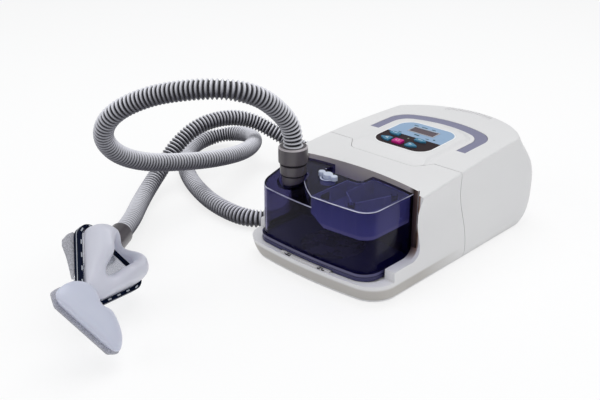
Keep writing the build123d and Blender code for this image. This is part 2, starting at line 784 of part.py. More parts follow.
# ======================= blower unit (back half) ============================================
def crown_z(y):
    """Height of the roof's crown on the line of its three-point arc."""
    a = ((crown_front_z - crown_mid_z) / (front_y - crown_mid_y)
         - (crown_rear_z - crown_mid_z) / (rear_y - crown_mid_y)) / (front_y - rear_y)
    b = (crown_front_z - crown_mid_z) / (front_y - crown_mid_y) - a * (front_y - crown_mid_y)
    return crown_mid_z + b * (y - crown_mid_y) + a * (y - crown_mid_y) ** 2


def under_crown(inset):
    """Everything under the roof's crown, less inset."""
    with BuildPart() as block:
        extrude(crown_side(inset), amount=body_width, both=True)
    return block.part


panel_slope = math.degrees(math.atan(crown_z(panel_y + 0.5) - crown_z(panel_y - 0.5)))
panel_z = crown_z(panel_y) + island_rise
panel_plane = Plane(
    origin=(0, panel_y, panel_z),
    x_dir=(1, 0, 0),
    z_dir=(0, -math.sin(math.radians(panel_slope)), math.cos(math.radians(panel_slope))),
)


def d_plan(half, end_y, back, bow, corner):
    """Plan with a straight front and a bowed back, its back corners rounded."""
    with BuildSketch() as plan:
        with BuildLine():
            Line((-half, end_y), (half, end_y))
            Line((half, end_y), (half, back - bow))
            ThreePointArc((half, back - bow), (0, back), (-half, back - bow))
            Line((-half, back - bow), (-half, end_y))
        make_face()
        fillet(plan.vertices().group_by(Axis.Y)[1], corner)
    return plan.sketch


def band_block(grow):
    """The band's plan, grown all round, as a tall block."""
    with BuildPart() as block:
        with BuildSketch(Plane.XY.offset(80)):
            add(d_plan(band_half_out + grow, band_end_y - grow, band_back_out + grow, band_bow_out,
                       band_corner_out + grow))
            add(d_plan(band_half_in - grow, band_end_y - 50, band_back_in - grow, band_bow_in,
                       band_corner_in - grow), mode=Mode.SUBTRACT)
        extrude(amount=60)
    return block.part


def rounded_block(half_x, half_y, corner, low, high):
    """A rounded block on the panel's plane, between two heights over it."""
    with BuildPart() as block:
        with BuildSketch(panel_plane.offset(low)):
            RectangleRounded(2 * half_x, 2 * half_y, corner)
        extrude(amount=high - low)
    return block.part


island_half = band_half_in - island_margin
island_back = band_back_in - island_margin
cap_box = (2 * cap_half_x, 200, 2 * cap_half_z)

with BuildPart() as reach:
    add(main_side)
    add(nose_block(0, nose_depth))
main_reach = reach.part

with BuildPart() as main_top_cover:
    add(outer_form)
    add(main_side, mode=Mode.INTERSECT)
    with BuildPart():
        add(outer_form)
        add(nose_block(0, nose_depth), mode=Mode.INTERSECT)
    # raised surround of the panel, spreading into the roof
    with BuildPart():
        with BuildSketch(panel_plane.offset(-island_rise - 2.4)):
            add(d_plan(island_half, island_foot_front_y - panel_y, island_back - panel_y,
                       band_bow_in, band_corner_in))
        with BuildSketch(panel_plane):
            add(d_plan(island_half - island_spread, island_top_front_y - panel_y,
                       island_back - island_spread - panel_y, band_bow_in, band_corner_in - 6))
        loft()
        add(main_reach, mode=Mode.INTERSECT)
    add(level_slab(shell_low_z, 200), mode=Mode.INTERSECT)
    # hollow inside, with a thicker roof around the panel and the band
    with BuildPart(mode=Mode.SUBTRACT):
        add(inner_form)
        add(seam_slab(seam_gap / 2 + dock_wall, rear_limit), mode=Mode.INTERSECT)
        with BuildPart(mode=Mode.SUBTRACT):
            with BuildSketch(Plane.XY.offset(80)):
                add(d_plan(band_half_out + 4, 0, band_back_out + 4, band_bow_out, band_corner_out))
            extrude(amount=60)
            add(under_crown(deck_inset), mode=Mode.SUBTRACT)
    # groove for the band
    with BuildPart(mode=Mode.SUBTRACT):
        add(band_block(band_clearance))
        add(under_crown(groove_inset), mode=Mode.SUBTRACT)
    # seat and opening for the panel
    add(rounded_block(panel_half_x + panel_clearance, panel_half_y + panel_clearance,
                      panel_corner_r + panel_clearance, -panel_thick, 10), mode=Mode.SUBTRACT)
    add(rounded_block(panel_half_x - panel_ledge, panel_half_y - panel_ledge,
                      panel_corner_r - panel_ledge, -20, 10), mode=Mode.SUBTRACT)
    # vent grooves, along a line as bowed as the back
    with BuildPart(mode=Mode.SUBTRACT):
        with BuildSketch(Plane.XY.offset(90)):
            with Locations(*[
                (rib_mid_x + (i - (rib_count - 1) / 2) * rib_pitch,
                 rib_back_y - rib_length / 2
                 - rib_bow * (rib_mid_x + (i - (rib_count - 1) / 2) * rib_pitch) ** 2)
                for i in range(rib_count)
            ]):
                SlotOverall(rib_length, rib_width, rotation=90)
        extrude(amount=60)
        add(under_crown(rib_depth), mode=Mode.SUBTRACT)
    add(row_of(main_screw_at, shell_low_z, case_boss_top_z, case_boss_r))
    add(row_of(main_screw_at, base_z, base_z + 18, case_screw_r + 0.1), mode=Mode.SUBTRACT)
    # opening for the filter cap
    with Locations((cap_x, 200, cap_z)):
        Box(cap_box[0] + 2 * cap_gap, 90, cap_box[2] + 2 * cap_gap, mode=Mode.SUBTRACT)
    # sunk seat for the power socket
    with BuildPart():
        with Locations((socket_x, socket_seat_y - shell_wall, socket_z)):
            Box(2 * socket_pocket_half + 5, 30, 2 * socket_pocket_half + 5,
                align=(Align.CENTER, Align.MIN, Align.CENTER))
        add(outer_form, mode=Mode.INTERSECT)
    with Locations((socket_x, socket_seat_y, socket_z)):
        Box(2 * socket_pocket_half, 60, 2 * socket_pocket_half,
            align=(Align.CENTER, Align.MIN, Align.CENTER), mode=Mode.SUBTRACT)
    with BuildSketch(Plane.XZ.offset(-socket_seat_y - 5)):
        with Locations((socket_x, socket_z)):
            Circle(socket_outer_r - 1 + duct_clearance)
    extrude(amount=20, mode=Mode.SUBTRACT)
    # air outlet through the dock wall
    with BuildSketch(Plane.XZ.offset(-seam_y(inlet_z) + 8)):
        with Locations((inlet_x, inlet_z)):
            Circle(inlet_r + duct_wall + duct_clearance)
    extrude(amount=-30, mode=Mode.SUBTRACT)
print("cover", main_top_cover.part.is_valid, len(main_top_cover.solids()), round(main_top_cover.part.volume))
save(main_top_cover.part, "main_top_cover")

save(floor_plate(main_side, main_screw_at), "main_bottom_plate")
save(row_of(main_foot_at, 0, base_z, foot_r), "main_feet")
save(case_screws(main_screw_at), "main_screws")

with BuildPart() as panel_band:
    add(band_block(0))
    add(under_crown(band_top_inset), mode=Mode.INTERSECT)
    add(under_crown(band_top_inset + band_thick), mode=Mode.SUBTRACT)
print("band", panel_band.part.is_valid, len(panel_band.solids()))
save(panel_band.part, "panel_band")


# ---- control panel
def leaf_plan(size_x, size_y, point, grow):
    """A button's plan that narrows to a rounded point at +X, or at -X if point is negative."""
    turn = 1 if point > 0 else -1
    tip = abs(point)
    with BuildSketch() as plan:
        with BuildLine():
            Polyline(
                (-turn * size_x / 2, -size_y / 2), (-turn * size_x / 2, size_y / 2),
                (turn * (size_x / 2 - tip), size_y / 2), (turn * size_x / 2, 0),
                (turn * (size_x / 2 - tip), -size_y / 2), close=True,
            )
        make_face()
        fillet(plan.vertices(), 1.0)
        if grow:
            offset(amount=grow)
    return plan.sketch


def block_plan(size_x, size_y, point, grow):
    """A button's plan with four rounded corners; it has no point."""
    with BuildSketch() as plan:
        RectangleRounded(size_x + 2 * grow, size_y + 2 * grow, 1.4 + grow)
    return plan.sketch


# name, shape, place on the machine, size across and along, length of the point, extra height
buttons = (
    ("button_upper_left", leaf_plan, (-23.8, 35.0), (16.0, 6.8), -6.0, 0.0),
    ("button_lower_left", leaf_plan, (-23.4, 17.7), (15.0, 10.0), -9.0, 0.0),
    ("button_power", block_plan, (-5.2, 17.2), (12.5, 9.5), 0.0, 0.7),
    ("button_lower_right", leaf_plan, (14.6, 17.4), (15.0, 10.0), 9.0, 0.0),
    ("button_upper_right", leaf_plan, (14.7, 34.4), (16.0, 6.8), 6.0, 0.0),
)
led_at = (-2.2, 33.0)


def button_block(shape, place, size, point, grow, low, high):
    """A button's plan, grown, as a block between two heights over the panel."""
    with BuildPart() as block:
        with BuildSketch(panel_plane.offset(low)):
            with Locations((place[0], place[1] - panel_y)):
                add(shape(size[0], size[1], point, grow))
        extrude(amount=high - low)
    return block.part


with BuildPart() as panel_fascia:
    add(rounded_block(panel_half_x, panel_half_y, panel_corner_r, -panel_thick, 0))
    for name, shape, place, size, point, extra in buttons:
        add(button_block(shape, place, size, point, button_gap, -5, 5), mode=Mode.SUBTRACT)
    with BuildSketch(panel_plane.offset(-5)):
        with Locations((0, lcd_y - panel_y)):
            Rectangle(2 * lcd_half_x, 2 * lcd_half_y)
        with Locations((led_at[0], led_at[1] - panel_y)):
            Circle(1.2)
    extrude(amount=10, mode=Mode.SUBTRACT)
save(panel_fascia.part, "panel_fascia")

with BuildPart() as lcd_window:
    with BuildSketch(panel_plane.offset(-panel_thick)):
        with Locations((0, lcd_y - panel_y)):
            Rectangle(2 * lcd_half_x - 0.2, 2 * lcd_half_y - 0.2)
    extrude(amount=panel_thick - 0.3)
save(lcd_window.part, "lcd_window")

with BuildPart() as lcd_module:
    with BuildSketch(panel_plane.offset(-board_drop)):
        with Locations((0, lcd_y - panel_y)):
            Rectangle(2 * lcd_half_x + 4, 2 * lcd_half_y + 6)
    extrude(amount=board_drop - panel_thick - 0.3)
save(lcd_module.part, "lcd_module")

with BuildPart() as status_led:
    with BuildSketch(panel_plane.offset(-board_drop)):
        with Locations((led_at[0], led_at[1] - panel_y)):
            Circle(1.05)
    extrude(amount=board_drop + 0.2)
save(status_led.part, "status_led")

flange_top = -panel_thick - 0.3
switch_top = flange_top - flange_thick - button_travel - 0.3

with BuildPart() as control_board:
    add(rounded_block(panel_half_x + 1, panel_half_y + 1, 6, -board_drop - board_thick, -board_drop))
save(control_board.part, "control_board")

with BuildPart() as button_switches:
    for name, shape, place, size, point, extra in buttons:
        with BuildSketch(panel_plane.offset(-board_drop)):
            with Locations((place[0], place[1] - panel_y)):
                Rectangle(6, 6)
        extrude(amount=board_drop + switch_top - 1)
        with BuildSketch(panel_plane.offset(switch_top - 1)):
            with Locations((place[0], place[1] - panel_y)):
                Circle(1.7)
        extrude(amount=1)
save(button_switches.part, "button_switches")

for name, shape, place, size, point, extra in buttons:
    with BuildPart() as button:
        add(button_block(shape, place, size, point, 0, flange_top, button_height + extra))
        fillet(button.faces().sort_by(Axis.Z)[-1].edges(), 0.7)
        add(button_block(shape, place, size, point, flange_reach, flange_top - flange_thick, flange_top))
    print(name, button.part.is_valid, len(button.solids()))
    save(button.part, name)

# ---- blower
with BuildPart() as blower_housing:
    with Locations((blower_x, blower_y, blower_low_z)):
        Cylinder(blower_r, blower_high_z - blower_low_z, align=(Align.CENTER, Align.CENTER, Align.MIN))
    with BuildPart():
        with BuildSketch(Plane.XZ.offset(-seam_y(inlet_z) + 8)):
            with Locations((inlet_x, inlet_z)):
                Circle(inlet_r + duct_wall)
        extrude(amount=-(blower_y - seam_y(inlet_z) + 8))
        add(main_side, mode=Mode.INTERSECT)
    with Locations((blower_x, blower_y, impeller_low_z - 1)):
        Cylinder(blower_r - blower_wall, 60, align=(Align.CENTER, Align.CENTER, Align.MIN),
                 mode=Mode.SUBTRACT)
    with Locations((blower_x, blower_y, blower_low_z + blower_wall)):
        Cylinder(motor_r + 0.4, 60, align=(Align.CENTER, Align.CENTER, Align.MIN), mode=Mode.SUBTRACT)
    with BuildSketch(Plane.XZ.offset(-seam_y(inlet_z) + 8)):
        with Locations((inlet_x, inlet_z)):
            Circle(inlet_r)
    extrude(amount=-(blower_y - seam_y(inlet_z) + 8), mode=Mode.SUBTRACT)
print("blower", blower_housing.part.is_valid, len(blower_housing.solids()))
save(blower_housing.part, "blower_housing")

with BuildPart() as blower_cover:
    with Locations((blower_x, blower_y, blower_high_z)):
        Cylinder(blower_r, blower_wall, align=(Align.CENTER, Align.CENTER, Align.MIN))
        Cylinder(air_in_r + 3, 6, align=(Align.CENTER, Align.CENTER, Align.MIN))
        Cylinder(air_in_r, 40, mode=Mode.SUBTRACT)
save(blower_cover.part, "blower_cover")

with BuildPart() as blower_motor:
    with Locations((blower_x, blower_y, blower_low_z + blower_wall)):
        Cylinder(motor_r, 20, align=(Align.CENTER, Align.CENTER, Align.MIN))
        Cylinder(shaft_r, impeller_high_z - blower_low_z - blower_wall - 2,
                 align=(Align.CENTER, Align.CENTER, Align.MIN))
save(blower_motor.part, "blower_motor")

with BuildPart() as blower_impeller:
    with Locations((blower_x, blower_y, impeller_low_z)):
        Cylinder(impeller_r, 1.6, align=(Align.CENTER, Align.CENTER, Align.MIN))
        Cylinder(7, impeller_high_z - impeller_low_z, align=(Align.CENTER, Align.CENTER, Align.MIN))
    with BuildPart():
        with Locations((blower_x, blower_y, impeller_low_z)):
            with PolarLocations((impeller_r + 15) / 2, impeller_blades):
                Box(impeller_r - 15, 1.2, impeller_high_z - impeller_low_z, rotation=(0, 0, 32),
                    align=(Align.CENTER, Align.CENTER, Align.MIN))
        with Locations((blower_x, blower_y, 0)):
            Cylinder(impeller_r, 300, mode=Mode.INTERSECT)
    with Locations((blower_x, blower_y, 0)):
        Cylinder(shaft_r + shaft_clearance, 300, mode=Mode.SUBTRACT)
print("impeller", blower_impeller.part.is_valid, len(blower_impeller.solids()))
save(blower_impeller.part, "blower_impeller")

mount_at = tuple(
    (blower_x + (blower_r - 9) * math.cos(math.radians(a)), blower_y + (blower_r - 9) * math.sin(math.radians(a)))
    for a in (90, 210, 330)
)
save(row_of(mount_at, base_z + floor_thick, blower_low_z, mount_r), "blower_mounts")

with BuildPart() as main_board_posts:
    with Locations(*[
        (main_board_x + dx, main_board_y + dy, base_z + floor_thick) for dx in (-11, 11) for dy in (-40, 40)
    ]):
        Cylinder(2.6, main_board_z - base_z - floor_thick, align=(Align.CENTER, Align.CENTER, Align.MIN))
save(main_board_posts.part, "main_board_posts")

with BuildPart() as main_circuit_board:
    with Locations((main_board_x, main_board_y, main_board_z)):
        Box(30, 92, board_thick, align=(Align.CENTER, Align.CENTER, Align.MIN))
    with Locations(*[(main_board_x + 4, main_board_y + dy, main_board_z + board_thick) for dy in (-26, -6, 26)]):
        Box(14, 12, 9, align=(Align.CENTER, Align.CENTER, Align.MIN))
    with Locations((main_board_x - 6, main_board_y + 12, main_board_z + board_thick)):
        Cylinder(5, 14, align=(Align.CENTER, Align.CENTER, Align.MIN))
save(main_circuit_board.part, "main_circuit_board")

# ---- back
with BuildPart() as filter_cap:
    add(outer_form)
    with Locations((cap_x, 200, cap_z)):
        Box(cap_box[0], 2 * (200 - cap_front_y), cap_box[2], mode=Mode.INTERSECT)
    with BuildPart(mode=Mode.SUBTRACT):
        add(inner_form)
        with Locations((cap_x, 200, cap_z)):
            Box(cap_box[0] - 4, 200, cap_box[2] - 4, mode=Mode.INTERSECT)
    with Locations(*[(cap_x + dx, 190, cap_z) for dx in (-12.5, -7.5, -2.5, 2.5, 7.5, 12.5)]):
        Box(2.0, 90, 1.4 * cap_half_z, mode=Mode.SUBTRACT)
print("cap", filter_cap.part.is_valid, len(filter_cap.solids()))
save(filter_cap.part, "filter_cap")

with BuildPart() as air_filter:
    with Locations((cap_x, cap_front_y + 1, cap_z)):
        Box(cap_box[0] - 4.6, filter_thick, cap_box[2] - 4.6, align=(Align.CENTER, Align.MIN, Align.CENTER))
save(air_filter.part, "air_filter")

with BuildPart() as power_socket:
    with BuildSketch(Plane.XZ.offset(-socket_seat_y)):
        with Locations((socket_x, socket_z)):
            Circle(socket_outer_r)
    extrude(amount=-1.2)
    with BuildSketch(Plane.XZ.offset(-socket_seat_y)):
        with Locations((socket_x, socket_z)):
            Circle(socket_outer_r - 1)
    extrude(amount=11)
    with BuildSketch(Plane.XZ.offset(-socket_seat_y - 1.2)):
        with Locations((socket_x, socket_z)):
            Circle(socket_bore_r)
    extrude(amount=socket_bore_depth, mode=Mode.SUBTRACT)
print("socket", power_socket.part.is_valid, len(power_socket.solids()))
save(power_socket.part, "power_socket")


# ======================= hose ===============================================================
hose_route = (
    (-50, -109, 133.2), (-50, -109, 152), (-52, -126, 175), (-54, -155, 199), (-67, -185, 210),
    (-98, -208, 208), (-140, -230, 197), (-176, -251, 175), (-200, -250, 144), (-213, -224, 112),
    (-221, -180, 87), (-228, -115, 67), (-234, -52, 52), (-250, 11, 40), (-290, 68, 31),
    (-333, 86, 25), (-364, 77, 19), (-378, 47, 15), (-368, 8, 12.5), (-332, -31, 11.5),
    (-284, -62, 11.5), (-226, -86, 11.5), (-182, -95, 11.5), (-142, -94, 11.5), (-117, -72, 11.5),
    (-110.5, -34, 11.5), (-111, 16, 11.5), (-114, 66, 11.5), (-140, 112, 12), (-188, 121, 16),
    (-226, 97, 26), (-249, 75, 45), (-281, 54, 66), (-296, 19, 76), (-306, -23, 73),
    (-311, -57, 55), (-307, -88, 31), (-290, -126, 17), (-261, -164, 14.5), (-224, -203, 18.2),
    (-205, -231, 19.5),
)


def hose_radii(route):
    """Bend radius at each inner point, as large as the two runs beside it allow."""
    radii = []
    for before, here, after in zip(route, route[1:], route[2:]):
        run_in = Vector(*here) - Vector(*before)
        run_out = Vector(*after) - Vector(*here)
        turn = math.radians(run_in.get_angle(run_out))
        radii.append(0.45 * min(run_in.length, run_out.length) / math.tan(turn / 2))
    return radii


radii = hose_radii(hose_route)
for index, radius in enumerate(radii):
    run = (Vector(*hose_route[index + 1]) - Vector(*hose_route[index])).length
    print(f"hose point {index + 1}: run {run:.0f}, radius {radius:.0f}")

with BuildPart() as hose_tube:
    with BuildLine() as route_line:
        FilletPolyline(*hose_route, radius=radii)
    hose_line = route_line.wire()
    with BuildSketch(Plane(origin=hose_line @ 0, z_dir=hose_line % 0)):
        Circle(hose_od / 2)
        Circle(hose_od / 2 - hose_wall, mode=Mode.SUBTRACT)
    sweep(path=hose_line)
ring_area = math.pi * ((hose_od / 2) ** 2 - (hose_od / 2 - hose_wall) ** 2)
print("hose length", round(hose_line.length), "volume share",
      round(hose_tube.part.volume / (ring_area * hose_line.length), 4), hose_tube.part.is_valid)
save(hose_tube.part, "hose_tube")

with BuildPart() as hose_cuff_machine:
    cuff_low_z = adapter_top_z + seat_gap
    with Locations((port_x, port_y, cuff_low_z)):
        Cylinder(cuff_r, hose_route[0][2] - cuff_low_z, align=(Align.CENTER, Align.CENTER, Align.MIN))
    fillet(hose_cuff_machine.faces().sort_by(Axis.Z)[-1].edges(), 2.2)
    fillet(hose_cuff_machine.faces().sort_by(Axis.Z)[0].edges(), 0.8)
    with Locations((port_x, port_y, cuff_low_z)):
        Cylinder(spigot_r, 2 * (spigot_length + 0.6), mode=Mode.SUBTRACT)
        Cylinder(hose_od / 2 - hose_wall, 100, mode=Mode.SUBTRACT)
print("cuff", hose_cuff_machine.part.is_valid, len(hose_cuff_machine.solids()))
save(hose_cuff_machine.part, "hose_cuff_machine")

# ======================= mask ===============================================================
hose_end = Vector(*hose_route[-1])
hose_way = (Vector(*hose_route[-1]) - Vector(*hose_route[-2])).normalized()
elbow_reach = 120.0
elbow_at = hose_end + hose_way * elbow_reach
mask_across = Vector(-0.435, -0.462, 0.773)
mask_to_face = Vector(0.693, 0.376, 0.615)
mask_turn = Plane(origin=elbow_at, x_dir=mask_across, z_dir=mask_to_face)
mask_from_elbow = (0.161, 10.4826, 35.949)     # the mask's middle, across, up and towards the face
mask_origin = mask_turn.from_local_coords(mask_from_elbow)
mask_plane = Plane(origin=mask_origin, x_dir=mask_across, z_dir=mask_to_face)
side_plane = Plane(origin=mask_origin, x_dir=mask_plane.y_dir, z_dir=mask_plane.x_dir)
elbow_r = 12.0
elbow_plug_r = 11.0
elbow_plug_length = 15.0
elbow_end_gap = 0.3
elbow_turn_r = 12.6
elbow_bore_r = 9.0
mask_cuff_length = 60.0
mask_cuff_r = 13.4
elbow_local = mask_plane.to_local_coords(elbow_at)
print("elbow in mask frame", elbow_local, "turn", round(hose_way.get_angle(mask_plane.z_dir), 1))

hose_plane = Plane(origin=hose_end, z_dir=hose_way)

with BuildPart() as hose_cuff_mask:
    with BuildSketch(hose_plane):
        Circle(mask_cuff_r)
        Circle(hose_od / 2 - hose_wall, mode=Mode.SUBTRACT)
    extrude(amount=mask_cuff_length)
    with BuildSketch(hose_plane.offset(mask_cuff_length - 16)):
        Circle(11.06)
    extrude(amount=20, mode=Mode.SUBTRACT)
save(hose_cuff_mask.part, "hose_cuff_mask")

ring_half_x = 54.5
ring_low_y = -38.8
ring_high_y = 70.0
ring_tip_y = 48.5           # the rounded tip of the ring, under the forehead
ring_thick = 9.0
ring_width = 4.2
ring_corner_r = 18.0
shell_wall_thick = 2.2
shell_shoulder = 9.0        # depth of the frame's shoulder behind the ring
shell_shoulder_in = 9.0
shell_depth = 14.0
hub_r = 14.0
hub_bore_r = 11.0
hub_clearance = 0.06
hub_depth = 7.0


def mask_plan(grow, corner=None):
    """The mask's rounded triangle, moved out or in all round."""
    with BuildSketch() as plan:
        with BuildLine():
            Polyline(
                (-ring_half_x, ring_low_y), (ring_half_x, ring_low_y), (0, ring_high_y), close=True,
            )
        make_face()
        if grow:
            offset(amount=grow, kind=Kind.INTERSECTION)
        fillet(plan.vertices(), corner or ring_corner_r + grow)
    return plan.sketch


with BuildPart() as mask_ring:
    with BuildSketch(mask_plane.offset(-ring_thick / 2)):
        add(mask_plan(0))
        add(mask_plan(-ring_width), mode=Mode.SUBTRACT)
    extrude(amount=ring_thick)
print("ring", mask_ring.part.is_valid, len(mask_ring.solids()))
save(mask_ring.part, "mask_ring")

hub_plane = Plane(origin=mask_plane.from_local_coords((elbow_local.X, elbow_local.Y, 0)),
                  x_dir=mask_across, z_dir=mask_to_face)
hub_top = -ring_thick / 2 - shell_depth

def frame_shell(inset):
    """The frame's closed outer form, or its hollow, from the ring back to the hub."""
    with BuildPart() as form:
        with BuildSketch(mask_plane.offset(-ring_thick / 2 + 2)):
            add(mask_plan(-ring_width - inset))
        with BuildSketch(mask_plane.offset(-ring_thick / 2 - shell_shoulder + inset)):
            add(mask_plan(-shell_shoulder_in - inset))
        loft()
        with BuildSketch(mask_plane.offset(-ring_thick / 2 - shell_shoulder + inset)):
            add(mask_plan(-shell_shoulder_in - inset))
        with BuildSketch(hub_plane.offset(hub_top + inset)):
            Circle(hub_r + 4 - inset)
        loft()
    return form.part


with BuildPart() as mask_frame:
    add(frame_shell(0))
    add(frame_shell(shell_wall_thick), mode=Mode.SUBTRACT)
    with BuildSketch(hub_plane.offset(hub_top - hub_depth + 2)):
        Circle(hub_r)
    extrude(amount=hub_depth)
    with BuildSketch(hub_plane.offset(hub_top - hub_depth)):
        Circle(hub_bore_r)
    extrude(amount=hub_depth + 10, mode=Mode.SUBTRACT)
print("frame", mask_frame.part.is_valid, len(mask_frame.solids()), mask_frame.part.bounding_box())
save(mask_frame.part, "mask_frame")

elbow_tail = hose_end + hose_way * (mask_cuff_length + elbow_end_gap)
elbow_head = hub_plane.offset(hub_top - hub_depth + 2 - elbow_end_gap)
with BuildLine() as elbow_line:
    FilletPolyline(elbow_tail, elbow_at, elbow_head.origin, radius=elbow_turn_r)
elbow_wire = elbow_line.wire()
with BuildLine() as bore_line:
    FilletPolyline(elbow_tail - hose_way * elbow_plug_length, elbow_at,
                   elbow_head.origin + mask_plane.z_dir * hub_depth, radius=elbow_turn_r)
bore_wire = bore_line.wire()

with BuildPart() as mask_elbow:
    with BuildSketch(Plane(origin=elbow_tail, z_dir=hose_way)):
        Circle(elbow_r)
    sweep(path=elbow_wire)
    with BuildSketch(Plane(origin=elbow_tail, z_dir=hose_way)):
        Circle(elbow_plug_r)
    extrude(amount=-elbow_plug_length)
    with BuildSketch(elbow_head):
        Circle(hub_bore_r - hub_clearance)
    extrude(amount=hub_depth)
    with BuildSketch(Plane(origin=elbow_tail - hose_way * elbow_plug_length, z_dir=hose_way)):
        Circle(elbow_bore_r)
    sweep(path=bore_wire, mode=Mode.SUBTRACT)
print("elbow", mask_elbow.part.is_valid, len(mask_elbow.solids()), mask_elbow.part.bounding_box())
save(mask_elbow.part, "mask_elbow")

cushion_height = 30.0
cushion_wall = 2.2
cushion_low = ring_thick / 2
# level, how far it stands in from the ring's outline, corner radius
cushion_levels = ((0.0, -4.5, 13.5), (9.0, -4.8, 13.5), (20.0, -8.0, 12.0), (cushion_height, -14.5, 9.0))
nose_half = 15.0            # opening for the nose
nose_low_y = -21.0
nose_high_y = 29.0


def cushion_form(inset, low, top):
    """The cushion's closed outer form, or its hollow."""
    with BuildPart() as form:
        for level, grow, corner in cushion_levels:
            height = min(max(level, low), top)
            with BuildSketch(mask_plane.offset(cushion_low + height)):
                add(mask_plan(grow - inset, corner - inset))
        loft()
    return form.part


with BuildPart() as mask_cushion:
    add(cushion_form(0, 0, cushion_height))
    add(cushion_form(cushion_wall, -1, cushion_height - cushion_wall), mode=Mode.SUBTRACT)
    with BuildSketch(mask_plane.offset(cushion_low + 10)) as opening:
        with BuildLine():
            Polyline((-nose_half, nose_low_y), (nose_half, nose_low_y), (0, nose_high_y), close=True)
        make_face()
        fillet(opening.vertices(), 4)
    extrude(amount=60, mode=Mode.SUBTRACT)
    # saddles for the bridge of the nose and for the lip
    with BuildSketch(side_plane):
        with Locations((ring_tip_y + 6, cushion_low + cushion_height + 8)):
            Circle(25)
        with Locations((ring_low_y - 3, cushion_low + cushion_height + 13)):
            Circle(21)
    extrude(amount=90, both=True, mode=Mode.SUBTRACT)
print("cushion", mask_cushion.part.is_valid, len(mask_cushion.solids()), mask_cushion.part.bounding_box())
save(mask_cushion.part, "mask_cushion")

# ---- forehead support: an arm hinged on the frame, a thin plate and a soft domed pad
pad_half = 41.5
pad_straight_y = 102.0      # straight edge of the pad, away from the cushion
pad_bulge_y = 59.0          # middle of its bowed edge, next to the cushion
pad_corner = 9.0
pad_low = 19.5
pad_thick = 15.0
plate_thick = 1.6
plate_border = 1.0
arm_width = 15.0
arm_thick = 3.0
knuckle_y = 57.0
knuckle_w = -1.0
knuckle_r = 4.0
hinge_pin_r = 1.5
hinge_clearance = 0.06
hinge_gap = 0.3


def pad_plan(grow):
    """The forehead pad's plan: one straight edge and one bowed edge."""
    with BuildSketch() as plan:
        with BuildLine():
            side_y = pad_straight_y - pad_corner
            Line((-pad_half, side_y), (-pad_half + pad_corner, pad_straight_y))
            Line((-pad_half + pad_corner, pad_straight_y), (pad_half - pad_corner, pad_straight_y))
            Line((pad_half - pad_corner, pad_straight_y), (pad_half, side_y))
            ThreePointArc((pad_half, side_y), (0, pad_bulge_y), (-pad_half, side_y))
        make_face()
        fillet(plan.vertices(), 4)
        if grow:
            offset(amount=grow)
    return plan.sketch


with BuildPart() as forehead_pad:
    for level, grow in ((0.0, 0.0), (5.0, 0.6), (10.5, -2.6), (pad_thick, -10.0)):
        with BuildSketch(mask_plane.offset(pad_low + plate_thick + level)):
            add(pad_plan(grow))
    loft()
print("pad", forehead_pad.part.is_valid, len(forehead_pad.solids()), forehead_pad.part.bounding_box())
save(forehead_pad.part, "forehead_pad")

with BuildPart() as forehead_plate:
    with BuildSketch(mask_plane.offset(pad_low)):
        add(pad_plan(plate_border))
    extrude(amount=plate_thick)
print("plate", forehead_plate.part.is_valid, forehead_plate.part.bounding_box())
save(forehead_plate.part, "forehead_plate")


def side_prism(points, half, radius=0.0):
    """A prism across the mask, drawn in its side view as (towards forehead, towards face)."""
    with BuildPart() as prism:
        with BuildSketch(side_plane) as side:
            with BuildLine():
                Polyline(*[(y, w) for y, w in points], close=True)
            make_face()
            if radius:
                fillet(side.vertices(), radius)
        extrude(amount=half, both=True)
    return prism.part


def across_rod(y, w, radius, half):
    """A rod across the mask at one place of its side view."""
    with BuildPart() as rod:
        with BuildSketch(side_plane):
            with Locations((y, w)):
                Circle(radius)
        extrude(amount=half, both=True)
    return rod.part


knuckle_half = arm_width / 6

with BuildPart() as forehead_arm:
    add(side_prism((
        (knuckle_y, knuckle_w - knuckle_r), (knuckle_y + 8, knuckle_w - knuckle_r),
        (knuckle_y + 22, pad_low - arm_thick), (pad_straight_y - 12, pad_low - arm_thick),
        (pad_straight_y - 12, pad_low), (knuckle_y + 17, pad_low), (knuckle_y + 5, knuckle_w),
        (knuckle_y, knuckle_w),
    ), arm_width / 2))
    add(across_rod(knuckle_y, knuckle_w, knuckle_r, arm_width / 2))
    add(across_rod(knuckle_y, knuckle_w, knuckle_r + 1.2, knuckle_half + hinge_gap), mode=Mode.SUBTRACT)
    add(across_rod(knuckle_y, knuckle_w, hinge_pin_r, arm_width / 2 - 1))
print("arm", forehead_arm.part.is_valid, len(forehead_arm.solids()))
save(forehead_arm.part, "forehead_arm")

with BuildPart() as frame_knuckle:
    add(side_prism((
        (ring_tip_y - 3.6, -ring_thick / 2 - 0.3), (ring_tip_y - 3.2, -ring_thick / 2 - 4.2),
        (knuckle_y, knuckle_w - knuckle_r), (knuckle_y, knuckle_w + knuckle_r),
        (ring_tip_y + 1, knuckle_w + 2), (ring_tip_y + 1, -ring_thick / 2 - 0.3),
    ), knuckle_half))
    add(across_rod(knuckle_y, knuckle_w, knuckle_r, knuckle_half))
    add(across_rod(knuckle_y, knuckle_w, hinge_pin_r + hinge_clearance, knuckle_half + 2), mode=Mode.SUBTRACT)
print("knuckle", frame_knuckle.part.is_valid, len(frame_knuckle.solids()))
save(frame_knuckle.part, "frame_knuckle")
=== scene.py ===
"""Looks for a bedside airway-pressure machine with a humidifier, a ribbed hose and a nasal mask.

Each sub-assembly is a class that keeps its sizes as dataclass fields, in millimetres in the machine's own
frame unless a field says otherwise, and that builds and dresses its own pieces.
"""
from __future__ import annotations

import logging
import math
from collections.abc import Callable, Iterator, Sequence
from contextlib import contextmanager
from dataclasses import dataclass
from enum import Enum
from typing import ClassVar

import bmesh
import bpy
from mathutils import Matrix, Vector


